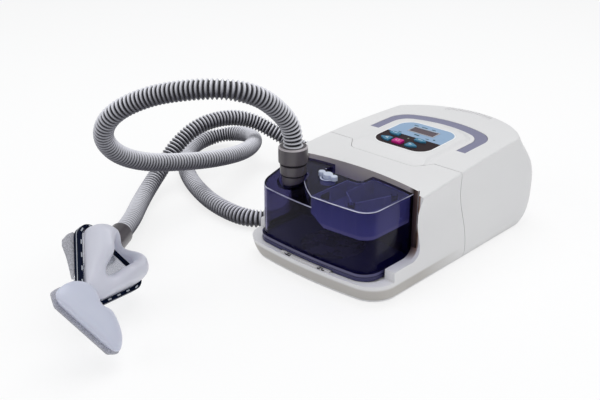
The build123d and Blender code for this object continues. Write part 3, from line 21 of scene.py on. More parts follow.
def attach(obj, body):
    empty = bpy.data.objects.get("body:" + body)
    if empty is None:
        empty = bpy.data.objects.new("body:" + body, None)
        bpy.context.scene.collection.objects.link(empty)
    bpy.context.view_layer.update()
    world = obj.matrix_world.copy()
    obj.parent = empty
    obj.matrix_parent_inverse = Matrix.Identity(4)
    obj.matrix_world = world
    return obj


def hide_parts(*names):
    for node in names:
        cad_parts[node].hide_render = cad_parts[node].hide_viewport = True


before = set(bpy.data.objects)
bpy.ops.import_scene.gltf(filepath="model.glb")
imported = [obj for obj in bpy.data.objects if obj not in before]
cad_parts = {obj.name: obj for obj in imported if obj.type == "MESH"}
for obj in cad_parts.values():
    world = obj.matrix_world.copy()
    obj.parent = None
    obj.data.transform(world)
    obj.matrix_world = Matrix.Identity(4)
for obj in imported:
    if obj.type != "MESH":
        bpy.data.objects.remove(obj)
MM = 0.001
LOG = logging.getLogger("airway_machine")
Colour = tuple[float, float, float]
Point = tuple[float, float, float]
Pair = tuple[float, float]


# ---------------------------------------------------------------- node trees
class Tree:
    """A node tree, with short calls that add and link nodes."""

    def __init__(self, tree: bpy.types.NodeTree) -> None:
        """Keeps the tree to work on."""
        self.tree = tree

    def fill(self, socket: bpy.types.NodeSocket, value: object) -> None:
        """Links an input to an output socket, or writes a plain value into it.

        Args:
            socket: The input socket.
            value: An output socket or a value.
        """
        if isinstance(value, bpy.types.NodeSocket):
            self.tree.links.new(value, socket)
        else:
            socket.default_value = value

    def node(self, kind: str, settings: dict[str, object] | None = None, **inputs: object) -> bpy.types.Node:
        """Adds a node, sets it up, and fills its inputs.

        Args:
            kind: The node's type name.
            settings: Attributes of the node itself, such as its operation.
            inputs: A value or an output socket for each input. Its name has underscores for spaces, or is an
                underscore and the input's number.

        Returns:
            The new node.
        """
        made = self.tree.nodes.new(kind)
        for name, value in (settings or {}).items():
            setattr(made, name, value)
        for name, value in inputs.items():
            key = int(name[1:]) if name[1:].isdigit() else name.replace("_", " ")
            self.fill(made.inputs[key], value)
        return made

    def math(
        self, operation: str, first: object, second: object = 0.0, clamp: bool = False,
    ) -> bpy.types.NodeSocket:
        """Adds a Math node and gives its output."""
        settings = {"operation": operation, "use_clamp": clamp}
        return self.node("ShaderNodeMath", settings, _0=first, _1=second).outputs[0]

    def product(self, first: object, *others: object) -> bpy.types.NodeSocket:
        """Multiplies two or more masks.

        Args:
            first: A mask's socket.
            others: The other masks' sockets.

        Returns:
            The product's socket.
        """
        for other in others:
            first = self.math("MULTIPLY", first, other)
        return first

    def spread(
        self, value: object, low: float, high: float, to_low: float = 0.0, to_high: float = 1.0,
    ) -> bpy.types.NodeSocket:
        """Adds a clamped Map Range node.

        Args:
            value: The socket to map.
            low: The value that becomes to_low.
            high: The value that becomes to_high.
            to_low: The result at the low end.
            to_high: The result at the high end.

        Returns:
            The mapped value's socket.
        """
        settings = {"clamp": True}
        made = self.node("ShaderNodeMapRange", settings, _0=value, _1=low, _2=high, _3=to_low, _4=to_high)
        return made.outputs[0]

    def rise(self, value: object, span: Pair, unit: float = MM) -> bpy.types.NodeSocket:
        """Gives a mask that goes from 0 at the span's start to 1 at its end."""
        return self.spread(value, span[0] * unit, span[1] * unit, 0.0, 1.0)

    def fall(self, value: object, span: Pair, unit: float = MM) -> bpy.types.NodeSocket:
        """Gives a mask that goes from 1 at the span's start to 0 at its end."""
        return self.spread(value, span[0] * unit, span[1] * unit, 1.0, 0.0)

    def mix(self, share: object, first: object, second: object) -> bpy.types.NodeSocket:
        """Mixes two colours.

        Args:
            share: How much of the second colour there is.
            first: A colour or its socket.
            second: A colour or its socket.

        Returns:
            The mixed colour's socket.
        """
        made = self.node("ShaderNodeMix", {"data_type": "RGBA"}, _0=share)
        for index, colour in ((6, first), (7, second)):
            plain = not isinstance(colour, bpy.types.NodeSocket)
            self.fill(made.inputs[index], (*colour, 1.0) if plain else colour)
        return made.outputs[2]

    def place(self, kind: str = "Object") -> bpy.types.NodeSocket:
        """Gives the piece's own coordinates, or another output of Texture Coordinate."""
        return self.node("ShaderNodeTexCoord").outputs[kind]

    def axes(self, kind: str = "Object") -> bpy.types.bpy_prop_collection:
        """Gives the X, Y and Z sockets of the piece's own coordinates, or of its "Normal"."""
        return self.node("ShaderNodeSeparateXYZ", Vector=self.place(kind)).outputs


def new_group(
    name: str, inputs: dict[str, float], outputs: Sequence[str],
) -> tuple[Tree, bpy.types.Node, bpy.types.Node]:
    """Starts a shader node group whose sockets are all floats.

    Args:
        name: The group's name.
        inputs: Names of inputs, with their defaults.
        outputs: Names of outputs.

    Returns:
        The group's tree, its input node and its output node.
    """
    tree = bpy.data.node_groups.new(name, "ShaderNodeTree")
    for label, value in inputs.items():
        socket = tree.interface.new_socket(label, in_out="INPUT", socket_type="NodeSocketFloat")
        socket.default_value = value
    for label in outputs:
        tree.interface.new_socket(label, in_out="OUTPUT", socket_type="NodeSocketFloat")
    work = Tree(tree)
    return work, work.node("NodeGroupInput"), work.node("NodeGroupOutput")


class Effects:
    """Shader node groups that several finishes share, each built once."""

    made: ClassVar[dict[str, bpy.types.NodeTree]] = {}
    tone_range: ClassVar[Pair] = (0.3, 0.7)
    handling_range: ClassVar[Pair] = (0.45, 0.75)
    handling_scale: ClassVar[float] = 6.0

    @classmethod
    def moulded_skin(cls) -> bpy.types.NodeTree:
        """Gives the group for a moulded surface: fine grain, slow tone changes and handling marks.

        Returns:
            The group, whose outputs Tone and Handling go from 0 to 1 and whose Grain is a height.
        """
        name = "moulded_skin"
        if name not in cls.made:
            defaults = {"Grain Scale": 900.0, "Tone Scale": 9.0}
            work, inp, out = new_group(name, defaults, ("Tone", "Grain", "Handling"))
            place, scales = work.place(), inp.outputs
            grain = work.node("ShaderNodeTexNoise", Vector=place, Scale=scales["Grain Scale"], Detail=2.0)
            tone = work.node("ShaderNodeTexNoise", Vector=place, Scale=scales["Tone Scale"], Detail=3.0)
            wide = work.math("MULTIPLY", scales["Tone Scale"], cls.handling_scale)
            marks = work.node("ShaderNodeTexNoise", Vector=place, Scale=wide, Detail=6.0, Roughness=0.7)
            work.fill(out.inputs["Tone"], work.spread(tone.outputs[0], *cls.tone_range))
            work.fill(out.inputs["Grain"], grain.outputs[0])
            work.fill(out.inputs["Handling"], work.spread(marks.outputs[0], *cls.handling_range))
            cls.made[name] = work.tree
        return cls.made[name]

    @classmethod
    def rounded_plate(cls) -> bpy.types.NodeTree:
        """Gives the group for how far a point is from a rounded plate's outline.

        Returns:
            The group, whose output Distance is in metres and less than 0 inside the outline.
        """
        name = "rounded_plate"
        if name not in cls.made:
            defaults = {"Mid Y": 0.0, "Half X": 0.04, "Half Y": 0.04, "Corner": 0.01}
            work, inp, out = new_group(name, defaults, ("Distance",))
            axes = work.axes()
            over = []
            for axis, mid, half in (("X", 0.0, "Half X"), ("Y", inp.outputs["Mid Y"], "Half Y")):
                off = work.math("ABSOLUTE", work.math("SUBTRACT", axes[axis], mid))
                straight = work.math("SUBTRACT", inp.outputs[half], inp.outputs["Corner"])
                over.append(work.math("SUBTRACT", off, straight))
            squares = [work.math("POWER", work.math("MAXIMUM", side, 0.0), 2.0) for side in over]
            reach = work.math("SQRT", work.math("ADD", *squares))
            inner = work.math("MINIMUM", work.math("MAXIMUM", *over), 0.0)
            total = work.math("SUBTRACT", work.math("ADD", reach, inner), inp.outputs["Corner"])
            work.fill(out.inputs["Distance"], total)
            cls.made[name] = work.tree
        return cls.made[name]


# ---------------------------------------------------------------- finishes
@dataclass(frozen=True)
class Finish:
    """A moulded opaque finish, whose name is also its material's name.

    The field grain_height is how high the grain's bumps are and under_scale is how deep light goes, both in
    millimetres. The scales of grain and tone are those of the skin's noise.
    """

    name: str
    colour: Colour
    shade: Colour
    roughness: float = 0.35
    polish: float = 0.12
    grain_scale: float = 900.0
    grain_depth: float = 0.02
    tone_scale: float = 9.0
    coat: float = 0.0
    metal: float = 0.0
    under: float = 0.0
    clear: float = 0.0
    ior: float = 1.46
    gleam: Colour = (1.0, 1.0, 1.0)
    slot: str = ""
    grain_height: float = 0.4
    coat_roughness: float = 0.12
    under_radius: Colour = (1.0, 0.85, 0.9)
    under_scale: float = 4.0

    def material(self) -> bpy.types.Material:
        """Gives the finish as a material, which is built once.

        Returns:
            The material. The mark "dressed" tells it from a CAD material of the same name.
        """
        known = bpy.data.materials.get(self.name)
        if known and known.get("dressed"):
            return known
        made = bpy.data.materials.new(self.name)
        made["dressed"] = True
        made.use_nodes = True
        work = Tree(made.node_tree)
        work.tree.nodes.clear()
        body, skin = self.shader(work)
        work.fill(body.inputs["Base Color"], self.field(work, skin))
        work.node("ShaderNodeOutputMaterial", Surface=self.surface(work, body))
        return made

    def shader(self, work: Tree) -> tuple[bpy.types.Node, bpy.types.Node]:
        """Adds the Principled BSDF with this finish's constants, and the skin that drives it.

        Args:
            work: The material's tree.

        Returns:
            The shader and the skin group's node.
        """
        skin = work.node(
            "ShaderNodeGroup", {"node_tree": Effects.moulded_skin()},
            Grain_Scale=self.grain_scale, Tone_Scale=self.tone_scale,
        )
        bump = work.node(
            "ShaderNodeBump", Strength=self.grain_depth, Distance=self.grain_height * MM,
            Height=self.height(work, skin),
        )
        roughest = self.roughness + self.polish
        body = work.node(
            "ShaderNodeBsdfPrincipled", Metallic=self.metal, IOR=self.ior, Coat_Weight=self.coat,
            Coat_Roughness=self.coat_roughness, Subsurface_Weight=self.under, Transmission_Weight=self.clear,
            Roughness=work.spread(skin.outputs["Handling"], 0.0, 1.0, self.roughness, roughest),
            Normal=bump.outputs[0], Specular_Tint=(*self.gleam, 1.0),
        )
        if self.under:
            body.inputs["Subsurface Radius"].default_value = self.under_radius
            body.inputs["Subsurface Scale"].default_value = self.under_scale * MM
        return body, skin

    def field(self, work: Tree, skin: bpy.types.Node) -> bpy.types.NodeSocket:
        """Gives the base colour, which drifts between the finish's two tones."""
        return work.mix(skin.outputs["Tone"], self.colour, self.shade)

    def height(self, work: Tree, skin: bpy.types.Node) -> bpy.types.NodeSocket:
        """Gives the height that the bump follows."""
        return skin.outputs["Grain"]

    def surface(self, work: Tree, body: bpy.types.Node) -> bpy.types.NodeSocket:
        """Gives the shader that the material ends in."""
        return body.outputs[0]


@dataclass(frozen=True)
class ClearFinish(Finish):
    """A see-through moulding. Its tint also colours the light that passes through it."""

    pass_tint: Colour = (0.5, 0.5, 0.7)

    def surface(self, work: Tree, body: bpy.types.Node) -> bpy.types.NodeSocket:
        """Gives the shader, with plain tinted light for shadow and soft rays.

        Args:
            work: The material's tree.
            body: The Principled BSDF.

        Returns:
            The mixed shader's socket.
        """
        through = work.node("ShaderNodeBsdfTransparent", Color=(*self.pass_tint, 1.0))
        rays = work.node("ShaderNodeLightPath").outputs
        share = work.math("MAXIMUM", rays["Is Shadow Ray"], rays["Is Diffuse Ray"])
        both = work.node("ShaderNodeMixShader", _0=share, _1=body.outputs[0], _2=through.outputs[0])
        return both.outputs[0]


@dataclass(frozen=True)
class LinedClearFinish(ClearFinish):
    """A see-through moulding that is paler towards its foot and along thin upright lines, with a painted
    highlight along the foot.
    """

    line: Colour = (1.0, 1.0, 1.0)
    pitch: float = 15.0
    line_width: float = 0.7
    line_share: float = 0.8
    tone_z: Pair = (66.0, 104.0)
    foot_z: Pair = (71.2, 72.7)

    def field(self, work: Tree, skin: bpy.types.Node) -> bpy.types.NodeSocket:
        """Gives the colour with the gradient and the lines.

        Args:
            work: The material's tree.
            skin: The skin group's node.

        Returns:
            The colour's socket.
        """
        axes = work.axes()
        off = work.math("PINGPONG", axes["X"], self.pitch * MM / 2)
        lines = work.spread(off, 0.0, self.line_width * MM, self.line_share, 0.0)
        plain = work.mix(work.rise(axes["Z"], self.tone_z), self.colour, self.shade)
        lines = work.product(lines, skin.outputs["Tone"])
        # Painted highlight: a pale band along the foot.
        pale = work.math("MAXIMUM", work.fall(axes["Z"], self.foot_z), lines)
        return work.mix(pale, plain, self.line)


@dataclass(frozen=True)
class FasciaFinish(Finish):
    """The panel's printed film: pale blue behind, dark in front, and a white line round it."""

    dark: Colour = (0.030, 0.018, 0.020)
    line: Colour = (0.95, 0.95, 0.95)
    mid_y: float = 43.0
    half_x: float = 39.5
    half_y: float = 38.0
    corner: float = 19.0
    line_width: float = 1.5
    split_y: float = 40.2
    blur: float = 0.1

    def field(self, work: Tree, skin: bpy.types.Node) -> bpy.types.NodeSocket:
        """Gives the film's three fields of colour.

        Args:
            work: The material's tree.
            skin: The skin group's node.

        Returns:
            The colour's socket.
        """
        behind = work.rise(work.axes()["Y"], (self.split_y - self.blur, self.split_y + self.blur))
        film = work.mix(behind, self.dark, super().field(work, skin))
        plate = work.node(
            "ShaderNodeGroup", {"node_tree": Effects.rounded_plate()}, Mid_Y=self.mid_y * MM,
            Half_X=self.half_x * MM, Half_Y=self.half_y * MM, Corner=self.corner * MM,
        )
        rim = work.rise(plate.outputs[0], (-self.line_width - self.blur, -self.line_width + self.blur))
        return work.mix(rim, film, self.line)


@dataclass(frozen=True)
class BrushedFinish(Finish):
    """Metal with fine marks along one axis."""

    stretch: Point = (1.0, 40.0, 1.0)
    mark_scale: float = 60.0

    def field(self, work: Tree, skin: bpy.types.Node) -> bpy.types.NodeSocket:
        """Gives the colour along stretched marks.

        Args:
            work: The material's tree.
            skin: The skin group's node, which is not used.

        Returns:
            The colour's socket.
        """
        long = work.node("ShaderNodeMapping", Vector=work.place(), Scale=self.stretch)
        marks = work.node("ShaderNodeTexNoise", Vector=long.outputs[0], Scale=self.mark_scale, Detail=4.0)
        return work.mix(marks.outputs[0], self.colour, self.shade)


@dataclass(frozen=True)
class BoardFinish(Finish):
    """A circuit board with tracks in the finish's second colour."""

    track_scale: float = 60.0
    track_width: float = 0.03
    track_offset: float = 0.3
    wear: float = 0.3

    def field(self, work: Tree, skin: bpy.types.Node) -> bpy.types.NodeSocket:
        """Gives the colour, with a brick pattern for the tracks.

        Args:
            work: The material's tree.
            skin: The skin group's node.

        Returns:
            The colour's socket.
        """
        board, track = (*self.colour, 1.0), (*self.shade, 1.0)
        tracks = work.node(
            "ShaderNodeTexBrick", {"offset": self.track_offset}, Vector=work.place(), Scale=self.track_scale,
            Mortar_Size=self.track_width, Color1=board, Color2=board, Mortar=track,
        )
        return work.mix(work.product(skin.outputs["Handling"], self.wear), tracks.outputs[0], self.shade)


@dataclass(frozen=True)
class RibbedFinish(Finish):
    """The hose's skin, with painted light: pale on the ribs' upper sides, painted shade below and between the
    ribs.
    """

    valley_shade: Colour = (0.012, 0.011, 0.015)
    underside_shade: Colour = (0.115, 0.113, 0.138)
    upward: Pair = (-0.15, 0.80)
    flank: Pair = (0.10, 0.60)

    def field(self, work: Tree, skin: bpy.types.Node) -> bpy.types.NodeSocket:
        """Gives the colour, with the ribs' own attribute as the mask for the painted shade between them.

        Args:
            work: The material's tree.
            skin: The skin group's node.

        Returns:
            The colour's socket.
        """
        rib = work.node("ShaderNodeAttribute", {"attribute_name": "rib"}).outputs["Fac"]
        # Painted shade: the crests darken as they turn to face down.
        upper = work.rise(work.axes("Normal")["Z"], self.upward, 1.0)
        crest = work.mix(upper, self.underside_shade, super().field(work, skin))
        # Painted shade in the valleys between the ribs.
        return work.mix(work.rise(rib, self.flank, 1.0), self.valley_shade, crest)


@dataclass(frozen=True)
class CaseFinish(Finish):
    """The white case, with painted shade: brown round the chamber's bay and on the foot, warmer under the
    front lip.

    A pair of places, or of a normal's shares, is where a change of colour starts and where it ends.
    """

    brown: Colour = (0.26, 0.165, 0.125)
    deep: Colour = (0.030, 0.020, 0.022)
    lip_shade: Colour = (0.53, 0.505, 0.475)
    shade_x: Pair = (84.0, 91.0)
    case_x: Pair = (91.0, 92.6)
    bay_front_y: Pair = (-100.0, -92.0)
    bay_back_y: Pair = (-47.0, -45.0)
    bay_low_z: Pair = (24.0, 38.0)
    bay_turn: Pair = (-0.90, -0.10)
    lip_z: Pair = (17.0, 20.0)
    lip_y: Pair = (-69.5, 10.0)
    lip_turn: Pair = (0.5, 0.9)
    foot_y: Pair = (-85.0, -71.5)
    foot_low_z: Pair = (20.0, 23.0)
    foot_high_z: Pair = (56.0, 62.0)
    foot_share: float = 0.95

    def field(self, work: Tree, skin: bpy.types.Node) -> bpy.types.NodeSocket:
        """Gives the colour with painted shade on the bay's rim, the front lip and the foot beside the
        chamber.

        Args:
            work: The material's tree.
            skin: The skin group's node.

        Returns:
            The colour's socket.
        """
        axes, facing = work.axes(), work.axes("Normal")
        off = work.math("ABSOLUTE", axes["X"])
        # Painted shade on the forward faces round the chamber's bay: dark next to the chamber, brown further
        # out.
        along = work.math(
            "MINIMUM", work.fall(axes["Y"], self.bay_back_y), work.rise(axes["Y"], self.bay_front_y),
        )
        bay = work.product(
            work.fall(off, self.case_x), along, work.rise(axes["Z"], self.bay_low_z),
            work.fall(facing["Y"], self.bay_turn, 1.0),
        )
        # Painted shade on the upright faces low down at the front.
        upright = work.fall(work.math("ABSOLUTE", facing["Z"]), self.lip_turn, 1.0)
        lip = work.product(work.fall(axes["Z"], self.lip_z), upright, work.fall(axes["Y"], self.lip_y))
        # Painted shade on the foot beside the chamber.
        foot = work.product(
            work.spread(off, self.shade_x[0] * MM, self.shade_x[1] * MM, self.foot_share, 0.0),
            work.rise(axes["Y"], self.foot_y), work.fall(axes["Z"], self.foot_high_z),
            work.rise(axes["Z"], self.foot_low_z),
        )
        plain = work.mix(foot, super().field(work, skin), self.brown)
        rim_shade = work.mix(work.rise(off, self.shade_x), self.deep, self.brown)
        return work.mix(bay, work.mix(lip, plain, self.lip_shade), rim_shade)


@dataclass(frozen=True)
class BayFinish(Finish):
    """The bay's back wall, with painted shade beside the chamber: dark at the chamber's side, warm brown
    further out.
    """

    dark: Colour = (0.050, 0.030, 0.027)
    warm: Colour = (0.17, 0.115, 0.095)
    dark_x: Pair = (70.0, 77.0)
    warm_x: Pair = (77.0, 84.0)

    def field(self, work: Tree, skin: bpy.types.Node) -> bpy.types.NodeSocket:
        """Gives the colour with its painted shade across the wall.

        Args:
            work: The material's tree.
            skin: The skin group's node.

        Returns:
            The colour's socket.
        """
        off = work.math("ABSOLUTE", work.axes()["X"])
        edge = work.mix(work.rise(off, self.warm_x), self.dark, self.warm)
        return work.mix(work.rise(off, self.dark_x), super().field(work, skin), edge)


@dataclass(frozen=True)
class FoamFinish(Finish):
    """Open filter foam, whose cells show in its colour and its height."""

    cell_scale: float = 500.0
    cell_edge: float = 0.6

    def cells(self, work: Tree) -> bpy.types.NodeSocket:
        """Gives the cells as a mask, 0 in their middles."""
        cells = work.node("ShaderNodeTexVoronoi", Vector=work.place(), Scale=self.cell_scale)
        return work.spread(cells.outputs[0], 0.0, self.cell_edge)

    def field(self, work: Tree, skin: bpy.types.Node) -> bpy.types.NodeSocket:
        """Gives the colour, darker in the cells' middles."""
        return work.mix(self.cells(work), self.shade, self.colour)

    def height(self, work: Tree, skin: bpy.types.Node) -> bpy.types.NodeSocket:
        """Gives the cells as a height."""
        return self.cells(work)


WHITE_CASE = Finish(
    "white_case", (0.84, 0.835, 0.835), (0.815, 0.81, 0.815), 0.36, 0.10, 1100.0, 0.03, 7.0, ior=1.4,
)
# The housing's case, with painted shade round the bay, under the front lip and on the foot beside the
# chamber.
HOUSING_CASE = CaseFinish(
    "housing_case", (0.84, 0.835, 0.835), (0.815, 0.81, 0.815), 0.36, 0.10, 1100.0, 0.03, 7.0, ior=1.4,
    slot="white_case",
)
# Painted shade: dark brown on the side walls of the chamber's bay.
BAY_SIDE_SHADE = Finish(
    "bay_side_shade", (0.060, 0.036, 0.032), (0.045, 0.027, 0.024), 0.5, 0.1, ior=1.15, slot="white_case",
)
# The bay's back wall: beige, with painted shade beside the chamber.
BAY_BACK = BayFinish("bay_back", (0.60, 0.55, 0.52), (0.54, 0.49, 0.46), 0.5, 0.1, ior=1.2, slot="white_case")
CHAMBER_CLEAR = ClearFinish(
    "chamber_clear", (0.185, 0.176, 0.315), (0.160, 0.152, 0.280), 0.05, 0.04, 400.0, 0.004, 12.0, clear=1.0,
    ior=1.19, gleam=(0.80, 0.76, 1.0), pass_tint=(0.62, 0.61, 0.80),
)
# Painted highlight along the chamber's top rim, mottled between near white and dark violet.
CHAMBER_EDGE_HIGHLIGHT = Finish(
    "chamber_edge_highlight", (0.72, 0.73, 0.88), (0.12, 0.12, 0.24), 0.16, 0.08, 500.0, 0.01, 42.0, coat=0.3,
    slot="chamber_clear",
)
# Painted sheen: an opaque violet that stands in for a soft highlight on the flange's outer side.
FLANGE_SHEEN = Finish(
    "flange_sheen", (0.075, 0.070, 0.175), (0.055, 0.052, 0.13), 0.2, 0.08, 500.0, 0.01, 30.0, coat=0.3,
    slot="chamber_clear",
)
CHAMBER_BASE = Finish(
    "chamber_base", (0.040, 0.038, 0.105), (0.050, 0.047, 0.125), 0.22, 0.10, 500.0, 0.01, 12.0,
    coat=0.2, ior=1.3,
)
BAFFLE_CLEAR = LinedClearFinish(
    "baffle_clear", (0.60, 0.63, 0.86), (0.44, 0.47, 0.68), 0.24, 0.05, 400.0, 0.01, 14.0, clear=0.35,
    ior=1.3,
    pass_tint=(0.8, 0.8, 0.92),
)
GASKET = Finish("gasket", (0.055, 0.053, 0.115), (0.045, 0.043, 0.095), 0.5, 0.1)
HEATER_METAL = BrushedFinish("heater_metal", (0.70, 0.70, 0.71), (0.60, 0.60, 0.62), 0.3, 0.1, metal=1.0)
STEEL = BrushedFinish("steel", (0.62, 0.62, 0.64), (0.50, 0.50, 0.52), 0.25, 0.15, metal=1.0)
# Painted shadow: near black rings in the outlet's grooves.
GROOVE_SHADE = Finish(
    "groove_shade", (0.012, 0.010, 0.013), (0.018, 0.015, 0.019), 0.6, 0.1, ior=1.2, slot="cuff_grey",
)
RUBBER_DARK = Finish("rubber_dark", (0.030, 0.030, 0.033), (0.045, 0.045, 0.048), 0.6, 0.15, 700.0, 0.12)
LATCH_BEIGE = Finish("latch_beige", (0.76, 0.745, 0.73), (0.71, 0.695, 0.68), 0.35, 0.1, 900.0, 0.03)
# Painted shade on the floors and walls of the latch's finger slots.
LATCH_SLOT_SHADE = Finish("latch_slot_shade", (0.030, 0.026, 0.030), (0.045, 0.040, 0.044), 0.5, 0.1, slot="latch_beige")
CUFF_GREY = Finish(
    "cuff_grey", (0.092, 0.080, 0.089), (0.072, 0.062, 0.070), 0.30, 0.12, 700.0, 0.06, coat=0.2,
)
# Painted highlight on the rounding at the top of the machine's cuff.
CUFF_RIM_HIGHLIGHT = Finish("cuff_rim_highlight", (0.56, 0.52, 0.54), (0.46, 0.42, 0.44), 0.25, 0.1, coat=0.2, slot="cuff_grey")
HOSE_GREY = RibbedFinish(
    "hose_grey", (0.94, 0.94, 1.0), (0.84, 0.84, 0.91), 0.24, 0.10, 500.0, 0.02, 5.0, ior=1.3,
)
CAP_BLUE = Finish("cap_blue", (0.66, 0.72, 0.86), (0.60, 0.66, 0.80), 0.22, 0.1, coat=0.3)
BAND_VIOLET = Finish(
    "band_violet", (0.25, 0.25, 0.365), (0.225, 0.225, 0.335), 0.34, 0.1, 800.0, 0.04, ior=1.35,
)
FASCIA = FasciaFinish(
    "fascia", (0.335, 0.470, 0.650), (0.305, 0.440, 0.620), 0.34, 0.08, 900.0, 0.01, ior=1.16,
)
LCD_DARK = Finish("lcd_dark", (0.115, 0.085, 0.100), (0.135, 0.100, 0.115), 0.2, 0.06, ior=1.25)
LCD_FRAME = Finish("lcd_frame", (0.50, 0.50, 0.53), (0.44, 0.44, 0.47), 0.3, 0.08, slot="lcd_dark")
BUTTON_BLUE = Finish(
    "button_blue", (0.050, 0.235, 0.385), (0.042, 0.205, 0.345), 0.20, 0.1, coat=0.4, ior=1.35,
)
BUTTON_MAGENTA = Finish(
    "button_magenta", (0.62, 0.010, 0.25), (0.54, 0.008, 0.21), 0.22, 0.1, coat=0.3, ior=1.3,
)
# Pale printed signs on the blue keys, which also stand in for painted highlights on the keys.
SIGN_PALE = Finish("sign_pale", (0.62, 0.78, 0.86), (0.54, 0.70, 0.80), 0.3, 0.1, slot="button_blue")
SIGN_ROSE = Finish("sign_rose", (0.92, 0.45, 0.66), (0.86, 0.38, 0.60), 0.3, 0.1, slot="button_magenta")
LED = Finish("led", (0.25, 0.36, 0.22), (0.22, 0.32, 0.20), 0.2, 0.1, coat=0.5)
BOARD_GREEN = BoardFinish("board_green", (0.02, 0.13, 0.06), (0.05, 0.22, 0.11), 0.4, 0.1)
INNER_GREY = Finish("inner_grey", (0.30, 0.30, 0.31), (0.27, 0.27, 0.28), 0.45, 0.1)
MOTOR = BrushedFinish("motor", (0.50, 0.50, 0.52), (0.40, 0.40, 0.42), 0.3, 0.1, metal=1.0)
FILTER_FOAM = FoamFinish(
    "filter_foam", (0.25, 0.26, 0.28), (0.10, 0.10, 0.11), 0.9, 0.05, grain_depth=0.6, grain_height=0.6,
)
RING_NAVY = Finish("ring_navy", (0.001, 0.004, 0.018), (0.002, 0.006, 0.024), 0.30, 0.1, ior=1.12)
TAB_CLEAR = ClearFinish(
    "tab_clear", (0.60, 0.60, 0.64), (0.50, 0.50, 0.54), 0.25, 0.15, 300.0, 0.045, 60.0, clear=0.35, ior=1.35,
    pass_tint=(0.80, 0.80, 0.84), slot="frame_clear",
)
FRAME_CLEAR = ClearFinish(
    "frame_clear", (0.70, 0.71, 0.76), (0.62, 0.63, 0.68), 0.16, 0.08, 300.0, 0.03, 20.0, clear=0.8, ior=1.42,
    pass_tint=(0.93, 0.94, 0.97),
)
SILICONE = Finish(
    "silicone", (0.71, 0.715, 0.80), (0.66, 0.665, 0.75), 0.34, 0.12, 260.0, 0.03, 14.0, under=0.35,
    ior=1.41, coat=0.1,
)
PAD_SILICONE = Finish(
    "pad_silicone", (0.67, 0.695, 0.81), (0.61, 0.635, 0.76), 0.36, 0.12, 260.0, 0.03, 14.0, under=0.35,
    ior=1.41, coat=0.1,
)
SLOT_WHITE = Finish("slot_white", (0.50, 0.53, 0.58), (0.42, 0.45, 0.50), 0.4, 0.1, slot="ring_navy")
MARK_DARK = Finish(
    "mark_dark", (0.030, 0.085, 0.105), (0.035, 0.095, 0.115), 0.4, 0.1, ior=1.2, slot="fascia",
)


# ---------------------------------------------------------------- mesh helpers
# Points of a CAD node, and of a closed loop, that are nearer than this in metres are one point.
NODE_MERGE = 2e-6
LOOP_MERGE = 1e-7
# Edges between faces that turn by more than this, in degrees, stay sharp or get a bevel.
SHARP_ANGLE = 32.0
BEVEL_ANGLE = 50.0


def cad_node(name: str) -> bpy.types.Object:
    """Gives a CAD node's object."""
    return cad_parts[name]


def paint(finish: Finish, *names: str) -> None:
    """Gives CAD nodes a finish.

    Args:
        finish: The finish to use.
        names: The nodes' names.
    """
    for name in names:
        holder = cad_node(name)
        holder.data.materials.clear()
        holder.data.materials.append(finish.material())
        LOG.info("%s: %s", name, finish.name)


def stand(name: str, data: bpy.types.ID) -> bpy.types.Object:
    """Puts a mesh, curve, lamp or camera into the scene.

    Args:
        name: The object's name.
        data: What it shows.

    Returns:
        The new object.
    """
    holder = bpy.data.objects.new(name, data)
    bpy.context.scene.collection.objects.link(holder)
    return holder


def add_mesh(name: str, mesh: bpy.types.Mesh, finish: Finish, body: str) -> bpy.types.Object:
    """Makes a mesh a piece that rides on a body.

    Args:
        name: The piece's name.
        mesh: Its mesh, in place.
        finish: Its finish.
        body: The body that carries it.

    Returns:
        The new object.
    """
    piece = stand(name, mesh)
    if not mesh.materials:
        mesh.materials.append(finish.material())
    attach(piece, body)
    LOG.info("%s: %s, %d faces, on %s", name, finish.name, len(mesh.polygons), body)
    return piece


@contextmanager
def editing(mesh: bpy.types.Mesh) -> Iterator[bmesh.types.BMesh]:
    """Opens a mesh for editing and writes it back afterwards.

    Args:
        mesh: The mesh.

    Yields:
        The editable mesh.
    """
    work = bmesh.new()
    work.from_mesh(mesh)
    yield work
    work.to_mesh(mesh)
    work.free()


def shade(mesh: bpy.types.Mesh, smooth: bool) -> None:
    """Shades all of a mesh smooth or flat."""
    mesh.polygons.foreach_set("use_smooth", [smooth] * len(mesh.polygons))


def round_edges(piece: bpy.types.Object, width: float, segments: int = 2, **settings: object) -> None:
    """Rounds a piece's edges with a Bevel modifier.

    Args:
        piece: The piece.
        width: The rounding's width, in millimetres.
        segments: How many facets it has.
        settings: The modifier's other attributes.
    """
    soft = piece.modifiers.new("edge", "BEVEL")
    soft.width = width * MM
    soft.segments = segments
    for name, value in settings.items():
        setattr(soft, name, value)


def smooth_copy(
    node: str, body: str, finish: Finish, angle: float = SHARP_ANGLE, bevel: float = 0.0,
) -> bpy.types.Object:
    """Stands a merged, smooth-shaded copy in for a CAD node.

    Args:
        node: The node's name.
        body: The body that carries it.
        finish: The copy's finish.
        angle: Edges sharper than this, in degrees, stay sharp.
        bevel: Width of a fine bevel on sharp edges, in millimetres.

    Returns:
        The copy's object.
    """
    mesh = cad_node(node).data.copy()
    mesh.materials.clear()
    if "custom_normal" in mesh.attributes:
        mesh.attributes.remove(mesh.attributes["custom_normal"])
    with editing(mesh) as work:
        bmesh.ops.remove_doubles(work, verts=work.verts, dist=NODE_MERGE)
    shade(mesh, True)
    mesh.set_sharp_from_angle(angle=math.radians(angle))
    piece = add_mesh(node + "_shape", mesh, finish, body)
    if bevel:
        round_edges(piece, bevel, limit_method="ANGLE", angle_limit=math.radians(BEVEL_ANGLE))
    even = piece.modifiers.new("normals", "WEIGHTED_NORMAL")
    even.keep_sharp = True
    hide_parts(node)
    return piece


